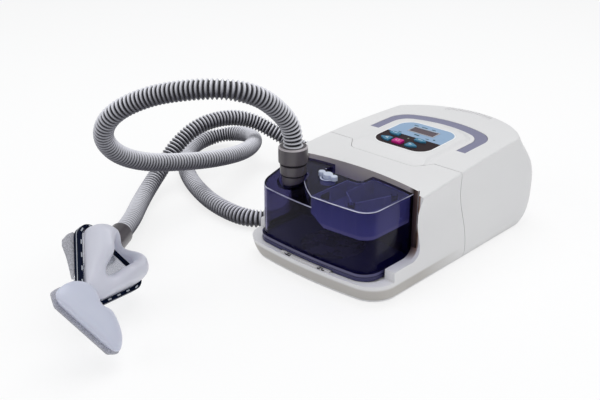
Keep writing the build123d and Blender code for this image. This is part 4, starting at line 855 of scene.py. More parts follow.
def dress_faces(piece: bpy.types.Object, finish: Finish, chosen: Callable[[Vector, Vector], bool]) -> None:
    """Gives some faces of a piece another finish.

    Args:
        piece: The piece.
        finish: The finish for its chosen faces.
        chosen: Says whether a face is one, from its middle in millimetres and its normal.
    """
    piece.data.materials.append(finish.material())
    index = len(piece.data.materials) - 1
    for face in piece.data.polygons:
        if chosen(face.center / MM, face.normal):
            face.material_index = index


def painted_highlight_edges(
    piece: bpy.types.Object, finish: Finish, width: float, chosen: Callable[[Vector, Vector, Vector], bool],
) -> None:
    """Rounds some outer edges of a piece and gives the roundings a painted highlight.

    Args:
        piece: The piece.
        finish: The roundings' finish, which paints a highlight on them.
        width: The roundings' width, in millimetres.
        chosen: Says whether an edge is one, from its middle in millimetres and from the lower and the upper
            of its faces' normals.
    """
    mesh = piece.data
    mesh.materials.append(finish.material())
    with editing(mesh) as work:
        layer = work.edges.layers.float.new("bevel_weight_edge")
        for edge in work.edges:
            if len(edge.link_faces) != 2 or not edge.is_convex:
                continue
            low, high = sorted((face.normal for face in edge.link_faces), key=lambda normal: normal.z)
            middle = (edge.verts[0].co + edge.verts[1].co) / (2 * MM)
            if chosen(middle, low, high):
                edge[layer] = 1.0
    own = len(mesh.materials) - 1
    round_edges(piece, width, 3, limit_method="WEIGHT", use_clamp_overlap=False, material=own)
    piece.modifiers.move(len(piece.modifiers) - 1, 0)


def evaluated_mesh(source: bpy.types.Object, name: str) -> bpy.types.Mesh:
    """Gives an object's evaluated geometry as a plain mesh.

    Args:
        source: The object to read.
        name: The new mesh's name.

    Returns:
        The mesh.
    """
    graph = bpy.context.evaluated_depsgraph_get()
    graph.update()
    mesh = bpy.data.meshes.new_from_object(source.evaluated_get(graph), depsgraph=graph)
    mesh.name = name
    return mesh


def from_rings(name: str, rings: Sequence[Sequence[Vector]], close_ends: bool = True) -> bpy.types.Mesh:
    """Joins closed rings of points into one skin.

    Args:
        name: The mesh's name.
        rings: Rings with the same number of points, in order.
        close_ends: Whether the first and last rings are filled.

    Returns:
        The mesh, smooth-shaded.
    """
    count = len(rings[0])
    verts = [tuple(point) for ring in rings for point in ring]
    faces: list[tuple[int, ...]] = []
    for level in range(len(rings) - 1):
        low, high = level * count, (level + 1) * count
        for index in range(count):
            after = (index + 1) % count
            faces.append((low + index, low + after, high + after, high + index))
    if close_ends:
        faces.append(tuple(reversed(range(count))))
        faces.append(tuple(range((len(rings) - 1) * count, len(rings) * count)))
    mesh = bpy.data.meshes.new(name)
    mesh.from_pydata(verts, [], faces)
    with editing(mesh) as work:
        bmesh.ops.recalc_face_normals(work, faces=work.faces)
    shade(mesh, True)
    return mesh


def closed_loop(name: str, rings: Sequence[Sequence[Vector]]) -> bpy.types.Mesh:
    """Joins rings into a skin that closes on its first ring.

    Args:
        name: The mesh's name.
        rings: Rings with the same number of points, in order.

    Returns:
        The mesh, smooth-shaded.
    """
    mesh = from_rings(name, [*rings, rings[0]], close_ends=False)
    with editing(mesh) as work:
        bmesh.ops.remove_doubles(work, verts=work.verts, dist=LOOP_MERGE)
        bmesh.ops.recalc_face_normals(work, faces=work.faces)
    return mesh


def rectangle(x: float, y: float, half_x: float, half_y: float) -> list[Pair]:
    """Gives a rectangle's corners, counter-clockwise.

    Args:
        x: Its middle across.
        y: Its middle along.
        half_x: Half its width.
        half_y: Half its length.

    Returns:
        The four corners.
    """
    left, right, near, far = x - half_x, x + half_x, y - half_y, y + half_y
    return [(left, near), (right, near), (right, far), (left, far)]


def rounded_outline(corners: Sequence[Pair], grow: float, radius: float, steps: int) -> list[Pair]:
    """Gives the outline of a rounded polygon, moved out or in all round.

    Args:
        corners: The sharp corners, counter-clockwise.
        grow: How far the outline moves out.
        radius: The corner radius after that.
        steps: Points on each corner's arc.

    Returns:
        The outline's points.
    """
    outline = []
    for index, corner in enumerate(corners):
        sharp = Vector(corner)
        ahead = (Vector(corners[(index + 1) % len(corners)]) - sharp).normalized()
        behind = (Vector(corners[index - 1]) - sharp).normalized()
        inward = (ahead + behind).normalized()
        half = math.acos(max(-1.0, min(1.0, ahead.dot(behind)))) / 2
        here = sharp - inward * grow / math.sin(half)
        centre = here + inward * radius / math.sin(half)
        start = here + behind * radius / math.tan(half) - centre
        end = here + ahead * radius / math.tan(half) - centre
        sweep = math.atan2(start.x * end.y - start.y * end.x, start.dot(end))
        for step in range(steps):
            angle = sweep * step / (steps - 1)
            spun = Vector((
                start.x * math.cos(angle) - start.y * math.sin(angle),
                start.x * math.sin(angle) + start.y * math.cos(angle),
            ))
            outline.append(tuple(centre + spun))
    return outline


def even_outline(outline: Sequence[Pair], count: int, from_angle: float) -> list[Vector]:
    """Cuts a star-shaped outline by evenly turned rays from its middle.

    Args:
        outline: The outline's points round the origin.
        count: How many rays there are.
        from_angle: The first ray's angle, in radians.

    Returns:
        One point on each ray.
    """
    parallel, slack = 1e-9, 1e-6
    cut = []
    for index in range(count):
        angle = from_angle + 2 * math.pi * index / count
        way = Vector((math.cos(angle), math.sin(angle)))
        best = 0.0
        for near, far in zip(outline, [*outline[1:], outline[0]]):
            first, second = Vector(near), Vector(far)
            edge = second - first
            cross = way.x * edge.y - way.y * edge.x
            if abs(cross) < parallel:
                continue
            reach = (first.x * edge.y - first.y * edge.x) / cross
            share = (first.x * way.y - first.y * way.x) / cross
            if reach > best and -slack <= share <= 1 + slack:
                best = reach
        cut.append(way * best)
    return cut


def geometry_tree(name: str, inputs: dict[str, str]) -> tuple[Tree, bpy.types.Node, bpy.types.Node]:
    """Starts a Geometry Nodes tree with a geometry and a material in, and a geometry out.

    Args:
        name: The tree's name.
        inputs: More input names, with their socket types.

    Returns:
        The tree, its input node and its output node.
    """
    tree = bpy.data.node_groups.new(name, "GeometryNodeTree")
    sockets = {"Geometry": "NodeSocketGeometry", **inputs, "Material": "NodeSocketMaterial"}
    for label, kind in sockets.items():
        tree.interface.new_socket(label, in_out="INPUT", socket_type=kind)
    tree.interface.new_socket("Geometry", in_out="OUTPUT", socket_type="NodeSocketGeometry")
    work = Tree(tree)
    return work, work.node("NodeGroupInput"), work.node("NodeGroupOutput")


def end_tree(work: Tree, inp: bpy.types.Node, out: bpy.types.Node, geometry: bpy.types.NodeSocket) -> None:
    """Ends a Geometry Nodes tree with real geometry in its material.

    Args:
        work: The tree.
        inp: Its input node.
        out: Its output node.
        geometry: The socket of what it made.
    """
    plain = work.node("GeometryNodeRealizeInstances", Geometry=geometry)
    painted = work.node(
        "GeometryNodeSetMaterial", Geometry=plain.outputs[0], Material=inp.outputs["Material"],
    )
    work.fill(out.inputs["Geometry"], painted.outputs[0])


def run_tree(
    source: bpy.types.Object, tree: bpy.types.NodeTree, values: dict[str, object], name: str,
) -> bpy.types.Mesh:
    """Runs a Geometry Nodes tree on an object and keeps only the mesh.

    Args:
        source: The object that the tree starts from; it is removed afterwards.
        tree: The tree.
        values: Its inputs by name.
        name: The mesh's name.

    Returns:
        The mesh.
    """
    modifier = source.modifiers.new("tree", "NODES")
    modifier.node_group = tree
    for item in tree.interface.items_tree:
        if item.item_type == "SOCKET" and item.in_out == "INPUT" and item.name in values:
            modifier[item.identifier] = values[item.name]
    mesh = evaluated_mesh(source, name)
    source.modifiers.remove(modifier)
    bpy.data.objects.remove(source)
    return mesh


# ---------------------------------------------------------------- camera, floor and light
@dataclass(frozen=True)
class Lamp:
    """One large soft lamp. Its places and its side are in metres, and its power is in watts."""

    name: str
    place: Point
    aim: Point
    side: float
    power: float

    def build(self) -> None:
        """Hangs the lamp."""
        data = bpy.data.lights.new(self.name, "AREA")
        data.size = self.side
        data.energy = self.power
        holder = stand(self.name, data)
        holder.location = self.place
        holder.rotation_euler = (Vector(self.aim) - Vector(self.place)).to_track_quat("-Z", "Y").to_euler()


@dataclass
class Studio:
    """Camera, floor, world and lamps."""

    eye: Point = (583.94, -772.17, 480.78)
    way: Point = (-0.62509, 0.66451, -0.40950)
    lens: float = 54.76
    sensor: float = 36.0
    view_end: float = 50_000.0
    floor_half: float = 6000.0
    paper: Colour = (0.93, 0.93, 0.935)
    glow: float = 1.04
    glow_share: float = 0.74
    sky: Colour = (0.96, 0.98, 1.0)
    sky_strength: float = 0.44
    lamps: tuple[Lamp, ...] = (
        Lamp("top_lamp", (-0.25, 0.35, 1.7), (0.0, 0.0, 0.05), 1.5, 13.2),
        Lamp("front_lamp", (-0.9, -1.5, 1.1), (-0.1, -0.1, 0.05), 1.2, 6.5),
        Lamp("side_lamp", (1.5, -0.2, 0.9), (0.0, 0.0, 0.05), 1.2, 5.0),
    )

    def camera(self) -> None:
        """Sets the camera up."""
        data = bpy.data.cameras.new("camera")
        data.lens = self.lens
        data.sensor_width = self.sensor
        data.clip_end = self.view_end * MM
        holder = stand("camera", data)
        turn = Vector(self.way).to_track_quat("-Z", "Y").to_matrix().to_4x4()
        holder.matrix_world = Matrix.Translation(Vector(self.eye) * MM) @ turn
        bpy.context.scene.camera = holder

    def floor(self) -> None:
        """Lays a pale floor that stays white to the camera and keeps soft shadows."""
        made = bpy.data.materials.new("floor")
        made.use_nodes = True
        work = Tree(made.node_tree)
        work.tree.nodes.clear()
        rays = work.node("ShaderNodeLightPath").outputs
        seen = work.math("MAXIMUM", rays["Is Camera Ray"], rays["Is Glossy Ray"])
        seen = work.math("MAXIMUM", seen, rays["Is Transmission Ray"])
        paper = work.node("ShaderNodeBsdfDiffuse", Color=(*self.paper, 1.0))
        glow = work.node("ShaderNodeEmission", Color=(1.0, 1.0, 1.0, 1.0), Strength=self.glow)
        share = work.product(seen, self.glow_share)
        both = work.node("ShaderNodeMixShader", _0=share, _1=paper.outputs[0], _2=glow.outputs[0])
        work.node("ShaderNodeOutputMaterial", Surface=both.outputs[0])
        mesh = bpy.data.meshes.new("floor")
        half = self.floor_half * MM
        mesh.from_pydata([(x, y, 0.0) for x, y in rectangle(0.0, 0.0, half, half)], [], [(0, 1, 2, 3)])
        mesh.materials.append(made)
        stand("floor", mesh)

    def world(self) -> None:
        """Makes a world that is white where it is seen and a soft grey for light."""
        made = bpy.data.worlds.new("room")
        bpy.context.scene.world = made
        made.use_nodes = True
        work = Tree(made.node_tree)
        work.tree.nodes.clear()
        rays = work.node("ShaderNodeLightPath").outputs
        seen = work.math("MAXIMUM", rays["Is Camera Ray"], rays["Is Transmission Ray"])
        soft = work.node("ShaderNodeBackground", Color=(*self.sky, 1.0), Strength=self.sky_strength)
        white = work.node("ShaderNodeBackground", Color=(1.0, 1.0, 1.0, 1.0), Strength=1.0)
        both = work.node("ShaderNodeMixShader", _0=seen, _1=soft.outputs[0], _2=white.outputs[0])
        work.node("ShaderNodeOutputWorld", Surface=both.outputs[0])

    def build(self) -> None:
        """Sets everything up."""
        self.camera()
        self.floor()
        self.world()
        for lamp in self.lamps:
            lamp.build()
        bpy.context.scene.view_settings.view_transform = "Standard"


# ---------------------------------------------------------------- hose
@dataclass
class Hose:
    """The ribbed hose and its cuffs. Its route holds the centre line's control points."""

    outer_r: float = 11.0
    valley_r: float = 8.5
    rib_pitch: float = 4.9
    crest_power: float = 1.5
    rings_per_rib: int = 8
    sides: int = 24
    length: float = 1785.0
    collar_top: float = 130.0
    collar_turn: Pair = (0.15, 0.97)
    cuff_edge: float = 0.7
    elbow_edge: float = 0.4
    route: tuple[Point, ...] = (
        (-50.0, -109.0, 133.2), (-50.0, -109.0, 152.0), (-52.0, -126.0, 175.0), (-54.0, -155.0, 199.0),
        (-67.0, -185.0, 210.0), (-98.0, -208.0, 208.0), (-140.0, -230.0, 197.0), (-176.0, -251.0, 175.0),
        (-200.0, -250.0, 144.0), (-213.0, -224.0, 112.0), (-221.0, -180.0, 87.0), (-228.0, -115.0, 67.0),
        (-234.0, -52.0, 52.0), (-250.0, 11.0, 40.0), (-290.0, 68.0, 31.0), (-333.0, 86.0, 25.0),
        (-364.0, 77.0, 19.0), (-378.0, 47.0, 15.0), (-368.0, 8.0, 12.5), (-332.0, -31.0, 11.5),
        (-284.0, -62.0, 11.5), (-226.0, -86.0, 11.5), (-182.0, -95.0, 11.5), (-142.0, -94.0, 11.5),
        (-117.0, -72.0, 11.5), (-110.5, -34.0, 11.5), (-111.0, 16.0, 11.5), (-114.0, 66.0, 11.5),
        (-140.0, 112.0, 12.0), (-188.0, 121.0, 16.0), (-226.0, 97.0, 26.0), (-249.0, 75.0, 45.0),
        (-281.0, 54.0, 66.0), (-296.0, 19.0, 76.0), (-306.0, -23.0, 73.0), (-311.0, -57.0, 55.0),
        (-307.0, -88.0, 31.0), (-290.0, -126.0, 17.0), (-261.0, -164.0, 14.5), (-224.0, -203.0, 18.2),
        (-205.0, -231.0, 19.5),
    )

    def centre_line(self) -> bpy.types.Object:
        """Makes the smooth line that the hose follows, from the machine to the mask.

        Returns:
            The line's curve object, whose control points are the route's.
        """
        curve = bpy.data.curves.new("hose_line", "CURVE")
        curve.dimensions = "3D"
        curve.resolution_u = 12
        line = curve.splines.new("NURBS")
        line.points.add(len(self.route) - 1)
        for slot, point in zip(line.points, self.route):
            slot.co = (*(value * MM for value in point), 1.0)
        line.order_u = 3
        line.use_endpoint_u = True
        return stand("hose_line", curve)

    def rib_tree(self) -> bpy.types.NodeTree:
        """Makes the tree that turns a line into a ribbed tube.

        Returns:
            The Geometry Nodes tree, which also stores the ribs as the attribute "rib", 1 on their crests.
        """
        work, inp, out = geometry_tree("ribbed_tube", {
            "Pitch": "NodeSocketFloat", "Outer Radius": "NodeSocketFloat", "Valley Radius": "NodeSocketFloat",
            "Rings per Rib": "NodeSocketInt", "Sides": "NodeSocketInt",
        })
        size = inp.outputs
        step = work.math("DIVIDE", size["Pitch"], size["Rings per Rib"])
        even = work.node("GeometryNodeResampleCurve", {"mode": "LENGTH"}, Curve=size["Geometry"], Length=step)
        along = work.node("GeometryNodeSplineParameter").outputs["Length"]
        turn = work.math("MULTIPLY", work.math("DIVIDE", along, size["Pitch"]), 2.0 * math.pi)
        wave = work.math("MULTIPLY", work.math("ADD", work.math("COSINE", turn), 1.0), 0.5, clamp=True)
        crest = work.math("POWER", wave, self.crest_power)
        depth = work.math("SUBTRACT", size["Outer Radius"], size["Valley Radius"])
        radius = work.math("ADD", work.math("MULTIPLY", crest, depth), size["Valley Radius"])
        marked = work.node(
            "GeometryNodeStoreNamedAttribute", {"data_type": "FLOAT", "domain": "POINT"},
            Geometry=even.outputs[0], Name="rib", Value=crest,
        )
        ring = work.node("GeometryNodeCurvePrimitiveCircle", Resolution=size["Sides"], Radius=1.0)
        skin = work.node(
            "GeometryNodeCurveToMesh", Curve=marked.outputs[0], Profile_Curve=ring.outputs[0], Scale=radius,
            Fill_Caps=True,
        )
        soft = work.node("GeometryNodeSetShadeSmooth", Geometry=skin.outputs[0])
        end_tree(work, inp, out, soft.outputs[0])
        return work.tree

    def on_collar(self, middle: Vector, normal: Vector) -> bool:
        """Says whether a face is the rounding at the top of the machine's cuff, where a highlight is painted.
        """
        return self.collar_turn[0] < normal.z < self.collar_turn[1] and middle.z > self.collar_top

    def build(self) -> None:
        """Builds the tube and dresses the cuffs."""
        line = self.centre_line()
        bare = evaluated_mesh(line, "hose_points")
        bpy.data.meshes.remove(bare)
        mesh = run_tree(line, self.rib_tree(), {
            "Pitch": self.rib_pitch * MM, "Outer Radius": self.outer_r * MM,
            "Valley Radius": self.valley_r * MM, "Rings per Rib": self.rings_per_rib, "Sides": self.sides,
            "Material": HOSE_GREY.material(),
        }, "ribbed_hose")
        tube = add_mesh("ribbed_hose", mesh, HOSE_GREY, "hose")
        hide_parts("hose_tube")
        collar = smooth_copy("hose_cuff_machine", "hose", CUFF_GREY)
        # Painted highlight on the collar's top rounding.
        dress_faces(collar, CUFF_RIM_HIGHLIGHT, self.on_collar)
        cuff = smooth_copy("hose_cuff_mask", "hose", CUFF_GREY, bevel=self.cuff_edge)
        elbow = smooth_copy("mask_elbow", "hose", FRAME_CLEAR, bevel=self.elbow_edge)


# ---------------------------------------------------------------- humidifier and chamber
@dataclass
class Humidifier:
    """The front half: housing, heater and latch. Its facing and upright are limits for a face's normal."""

    bay_half: float = 84.6
    bay_y: Pair = (-90.0, -45.0)
    tray_z: float = 22.5
    facing: float = 0.5
    upright: float = 0.75
    slot_x: float = 23.0
    slot_half: float = 3.3
    slot_z: Pair = (23.1, 25.15)
    slot_wall_z: float = 23.6

    def in_bay(self, middle: Vector) -> bool:
        """Says whether a face's middle is inside the chamber's bay."""
        return abs(middle.x) < self.bay_half and middle.y < self.bay_y[1] and middle.z > self.tray_z

    def lines_side(self, middle: Vector, normal: Vector) -> bool:
        """Says whether a face lines the side of the chamber's bay, where shade is painted."""
        inward = normal.x * middle.x < 0 and abs(normal.x) > self.facing
        return self.in_bay(middle) and inward and abs(normal.z) < self.upright

    def lines_back(self, middle: Vector, normal: Vector) -> bool:
        """Says whether a face lines the back of the chamber's bay, which has painted shade beside the
        chamber.
        """
        return self.in_bay(middle) and middle.y > self.bay_y[0] and normal.y < -self.facing

    def in_latch_slot(self, middle: Vector, normal: Vector) -> bool:
        """Says whether a face is the floor or the wall of a finger slot in the latch, where shade is painted.

        Args:
            middle: The face's middle, in millimetres.
            normal: Its normal.

        Returns:
            True for a face of a slot.
        """
        within = abs(abs(middle.x) - self.slot_x) < self.slot_half
        sunk = self.slot_z[0] < middle.z < self.slot_z[1]
        return within and sunk and (normal.z > self.facing or middle.z > self.slot_wall_z)

    def build(self) -> None:
        """Dresses the housing and what it carries."""
        housing = smooth_copy("humidifier_housing", "humidifier", HOUSING_CASE)
        # Painted shade on the bay's side walls and on its back wall beside the chamber.
        dress_faces(housing, BAY_SIDE_SHADE, self.lines_side)
        dress_faces(housing, BAY_BACK, self.lines_back)
        paint(WHITE_CASE, "humidifier_floor")
        paint(RUBBER_DARK, "humidifier_feet", "air_inlet_seal")
        paint(STEEL, "humidifier_screws")
        paint(HEATER_METAL, "heater_plate")
        paint(INNER_GREY, "heater_element", "air_inlet_duct")
        latch = smooth_copy("chamber_latch", "latch", LATCH_BEIGE)
        # Painted shade in the latch's finger slots.
        dress_faces(latch, LATCH_SLOT_SHADE, self.in_latch_slot)


@dataclass
class WaterChamber:
    """The tinted chamber with its inner tray, seal, plate, adapter and filler cap.

    Its edge_top, edge_side and upright are limits for a face's normal. A groove is a height and a radius.
    """

    edge_width: float = 0.75
    edge_top: float = 0.7
    edge_side: float = 0.4
    upright: float = 0.5
    flange_z: float = 45.0
    lit_back: float = -72.0
    port_x: float = -50.0
    port_y: float = -109.0
    port_clear: float = 24.0
    grooves: tuple[Pair, ...] = ((101.1, 13.25), (113.2, 14.55))
    groove_high: float = 2.4
    groove_deep: float = 1.6
    groove_swell: float = 0.15
    groove_steps: int = 48
    base_edge: float = 0.5
    cap_edge: float = 0.6

    def groove(self, index: int, level: float, radius: float) -> None:
        """Adds a dark ring of painted shadow that fills a groove of the outlet.

        Args:
            index: The ring's number.
            level: Its middle's height, in millimetres.
            radius: Its outer radius, in millimetres.
        """
        half = self.groove_high / 2
        profile = (
            (-self.groove_deep, -half), (-self.groove_swell, -half), (0.0, 0.0), (-self.groove_swell, half),
            (-self.groove_deep, half),
        )
        turns = [2 * math.pi * step / self.groove_steps for step in range(self.groove_steps)]
        rings = [[Vector((
            self.port_x + (radius + out) * math.cos(turn), self.port_y + (radius + out) * math.sin(turn),
            level + high,
        )) * MM for turn in turns] for out, high in profile]
        add_mesh(f"outlet_groove_shade_{index}", closed_loop("outlet_groove_shade", rings), GROOVE_SHADE, "water_chamber")

    def on_rim(self, middle: Vector, low: Vector, high: Vector) -> bool:
        """Says whether an edge is the chamber's top rim, in front and clear of the outlet, where a highlight
        is painted.

        Args:
            middle: The edge's middle, in millimetres.
            low: The lower of its faces' normals.
            high: The upper of them.

        Returns:
            True for an edge of the rim.
        """
        clear = math.hypot(middle.x - self.port_x, middle.y - self.port_y) > self.port_clear
        in_front = middle.y < self.lit_back and middle.z > self.flange_z
        turns_down = high.z > self.edge_top and abs(low.z) < self.edge_side
        return clear and in_front and turns_down and low.y < self.upright

    def on_flange(self, middle: Vector, normal: Vector) -> bool:
        """Says whether a face is the outer side of the chamber's foot flange, which gets a painted sheen."""
        return middle.z < self.flange_z and middle.y < self.lit_back and abs(normal.z) < self.upright

    def build(self) -> None:
        """Dresses the chamber."""
        shell = smooth_copy("chamber_shell", "water_chamber", CHAMBER_CLEAR)
        # Painted highlight along the chamber's top rim.
        painted_highlight_edges(shell, CHAMBER_EDGE_HIGHLIGHT, self.edge_width, self.on_rim)
        # Painted sheen on the outer side of the flange.
        dress_faces(shell, FLANGE_SHEEN, self.on_flange)
        smooth_copy("chamber_baffle", "water_chamber", BAFFLE_CLEAR)
        smooth_copy("chamber_base", "water_chamber", CHAMBER_BASE, bevel=self.base_edge)
        paint(GASKET, "chamber_gasket")
        paint(STEEL, "chamber_plate", "chamber_screws")
        smooth_copy("outlet_adapter", "water_chamber", CUFF_GREY, bevel=self.base_edge)
        smooth_copy("fill_cap", "filler_cap", CAP_BLUE, bevel=self.cap_edge)
        for index, (level, radius) in enumerate(self.grooves):
            self.groove(index, level, radius)


# ---------------------------------------------------------------- blower unit
class KeySign(Enum):
    """The plain sign on a key."""

    BAR = "bar"
    POINT_LEFT = "point left"
    POINT_RIGHT = "point right"
    POWER = "power"


@dataclass(frozen=True)
class Key:
    """A key, its sign and the place of the sign's middle on the panel."""

    name: str
    sign: KeySign
    x: float
    y: float


@dataclass
class BlowerUnit:
    """The back half: covers, panel, keys, blower and what is behind.

    A place on the panel is measured along its slope, and a mark on it is a middle and two half sizes. Angles
    are in radians, apart from key_angle.
    """

    panel_y: float = 43.0
    panel_z: float = 115.309
    panel_slope: float = math.radians(2.4344)
    lcd_y: float = 60.0
    lcd_half_x: float = 17.0
    lcd_half_y: float = 6.6
    lcd_border: float = 1.3
    lcd_z: Pair = (0.02, 0.37)
    mark_high: float = 0.15
    mark_corner: float = 0.45
    mark_steps: int = 4
    marks: tuple[tuple[float, float, float, float], ...] = (
        (-19.0, 71.5, 3.0, 0.7), (-7.0, 71.5, 4.0, 0.7), (6.0, 71.5, 2.6, 0.7), (-22.5, 44.0, 2.2, 0.6),
        (-1.0, 47.5, 3.4, 1.1), (16.0, 44.5, 2.2, 0.6), (24.0, 47.0, 1.2, 1.2),
    )
    keys: tuple[Key, ...] = (
        Key("upper_left", KeySign.BAR, -22.8, 35.0), Key("lower_left", KeySign.POINT_LEFT, -21.5, 17.7),
        Key("power", KeySign.POWER, -5.2, 16.9), Key("lower_right", KeySign.POINT_RIGHT, 12.6, 17.4),
        Key("upper_right", KeySign.BAR, 13.7, 34.4),
    )
    key_angle: float = 40.0
    band_edge: float = 0.4
    sign_z: Pair = (-0.1, 0.12)
    bar_half: Pair = (3.2, 0.5)
    arrow_tail: float = 2.0
    arrow_tip: float = 2.4
    arrow_half: float = 1.9
    power_r: Pair = (1.7, 2.5)
    power_start: float = math.radians(128)
    power_sweep: float = math.radians(284)
    power_steps: int = 22
    stroke_half: Pair = (0.4, 1.4)
    stroke_up: float = 1.8

    def panel_point(self, x: float, y: float, high: float) -> Vector:
        """Gives a point over the sloped panel.

        Args:
            x: Its place across the panel.
            y: Its place along the panel.
            high: Its height over the panel.

        Returns:
            The point, in metres.
        """
        along = y - self.panel_y
        rise, run = math.sin(self.panel_slope), math.cos(self.panel_slope)
        return Vector((
            x, self.panel_y + along * run - high * rise, self.panel_z + along * rise + high * run,
        )) * MM

    def panel_plate(
        self, name: str, outline: Sequence[Pair], levels: Pair, finish: Finish, body: str,
    ) -> None:
        """Adds a thin plate parallel to the panel.

        Args:
            name: The piece's name.
            outline: Its corners, as places on the panel.
            levels: Its bottom's and its top's height over the panel.
            finish: Its finish.
            body: The body that carries it.
        """
        mesh = from_rings(name, [[self.panel_point(x, y, level) for x, y in outline] for level in levels])
        shade(mesh, False)
        add_mesh(name, mesh, finish, body)

    def lcd_frame(self) -> None:
        """Adds the raised frame round the display."""
        low, high = self.lcd_z
        rings = []
        for grow, level in ((0.0, low), (0.0, high), (self.lcd_border, high), (self.lcd_border, low)):
            corners = rectangle(0.0, self.lcd_y, self.lcd_half_x + grow, self.lcd_half_y + grow)
            rings.append([self.panel_point(x, y, level) for x, y in corners])
        mesh = closed_loop("lcd_frame", rings)
        shade(mesh, False)
        add_mesh("lcd_frame", mesh, LCD_FRAME, "blower_unit")

    def film_marks(self) -> None:
        """Adds the small plain marks on the film."""
        for index, place in enumerate(self.marks):
            outline = rounded_outline(rectangle(*place), 0.0, self.mark_corner, self.mark_steps)
            self.panel_plate(f"film_mark_{index}", outline, (0.0, self.mark_high), MARK_DARK, "blower_unit")

    def key_top(self, key: Key) -> float:
        """Gives how far a key's top stands over the panel, in millimetres.

        Args:
            key: The key.

        Returns:
            The height.
        """
        up = Vector((0.0, -math.sin(self.panel_slope), math.cos(self.panel_slope)))
        base = self.panel_point(0.0, self.panel_y, 0.0)
        return max((vertex.co - base).dot(up) for vertex in cad_node("button_" + key.name).data.vertices) / MM

    def sign_outlines(self, key: Key) -> list[list[Pair]]:
        """Gives the outlines of the plates that make a key's sign.

        Args:
            key: The key.

        Returns:
            One outline for each plate, counter-clockwise.
        """
        x, y = key.x, key.y
        if key.sign is KeySign.BAR:
            return [rectangle(x, y, *self.bar_half)]
        if key.sign is KeySign.POWER:
            turns = [self.power_start + self.power_sweep * step / self.power_steps
                     for step in range(self.power_steps + 1)]
            inner, outer = ([(x + r * math.cos(turn), y + r * math.sin(turn)) for turn in turns]
                            for r in self.power_r)
            return [outer + inner[::-1], rectangle(x, y + self.stroke_up, *self.stroke_half)]
        way = -1.0 if key.sign is KeySign.POINT_LEFT else 1.0
        tail, tip = x - way * self.arrow_tail, x + way * self.arrow_tip
        arrow = [(tail, y - self.arrow_half), (tip, y), (tail, y + self.arrow_half)]
        return [arrow if way > 0 else arrow[::-1]]

    def key(self, key: Key) -> None:
        """Dresses a key and adds the raised sign on it.

        Args:
            key: The key.
        """
        is_power = key.sign is KeySign.POWER
        cap = BUTTON_MAGENTA if is_power else BUTTON_BLUE
        smooth_copy("button_" + key.name, "key_" + key.name, cap, angle=self.key_angle)
        top = self.key_top(key)
        levels = (top + self.sign_z[0], top + self.sign_z[1])
        for index, outline in enumerate(self.sign_outlines(key)):
            name = f"sign_{key.name}_{index}"
            self.panel_plate(name, outline, levels, SIGN_ROSE if is_power else SIGN_PALE, "key_" + key.name)

    def build(self) -> None:
        """Dresses the unit."""
        smooth_copy("main_top_cover", "blower_unit", WHITE_CASE)
        paint(WHITE_CASE, "main_bottom_plate")
        paint(RUBBER_DARK, "main_feet", "blower_mounts", "button_switches", "power_socket")
        paint(STEEL, "main_screws", "main_board_posts")
        smooth_copy("panel_band", "blower_unit", BAND_VIOLET, bevel=self.band_edge)
        paint(FASCIA, "panel_fascia")
        paint(LCD_DARK, "lcd_window")
        paint(INNER_GREY, "lcd_module", "blower_housing", "blower_cover")
        paint(LED, "status_led")
        paint(BOARD_GREEN, "control_board", "main_circuit_board")
        paint(MOTOR, "blower_motor")
        paint(CAP_BLUE, "blower_impeller")
        smooth_copy("filter_cap", "filter_door", WHITE_CASE)
        paint(FILTER_FOAM, "air_filter")
        for key in self.keys:
            self.key(key)
        self.lcd_frame()
        self.film_marks()


# ---------------------------------------------------------------- mask
@dataclass(frozen=True)
class WallLevel:
    """One level of the cushion's wall.

    Its outline is the ring's corners moved out by grow, rounded by corner and scaled. Its height is a share
    of the way from the ring to the crest. At the lip, the levels that are lip_pulled stand further in.
    """

    grow: float
    corner: float
    height: float
    lip_pulled: bool = True
    scale: float = 1.0


@dataclass(frozen=True)
class RollLevel:
    """One level of the roll from the cushion's crest into the mouth, as shares of the way in and up."""

    way_in: float
    height: float
    lip_pulled: bool = False


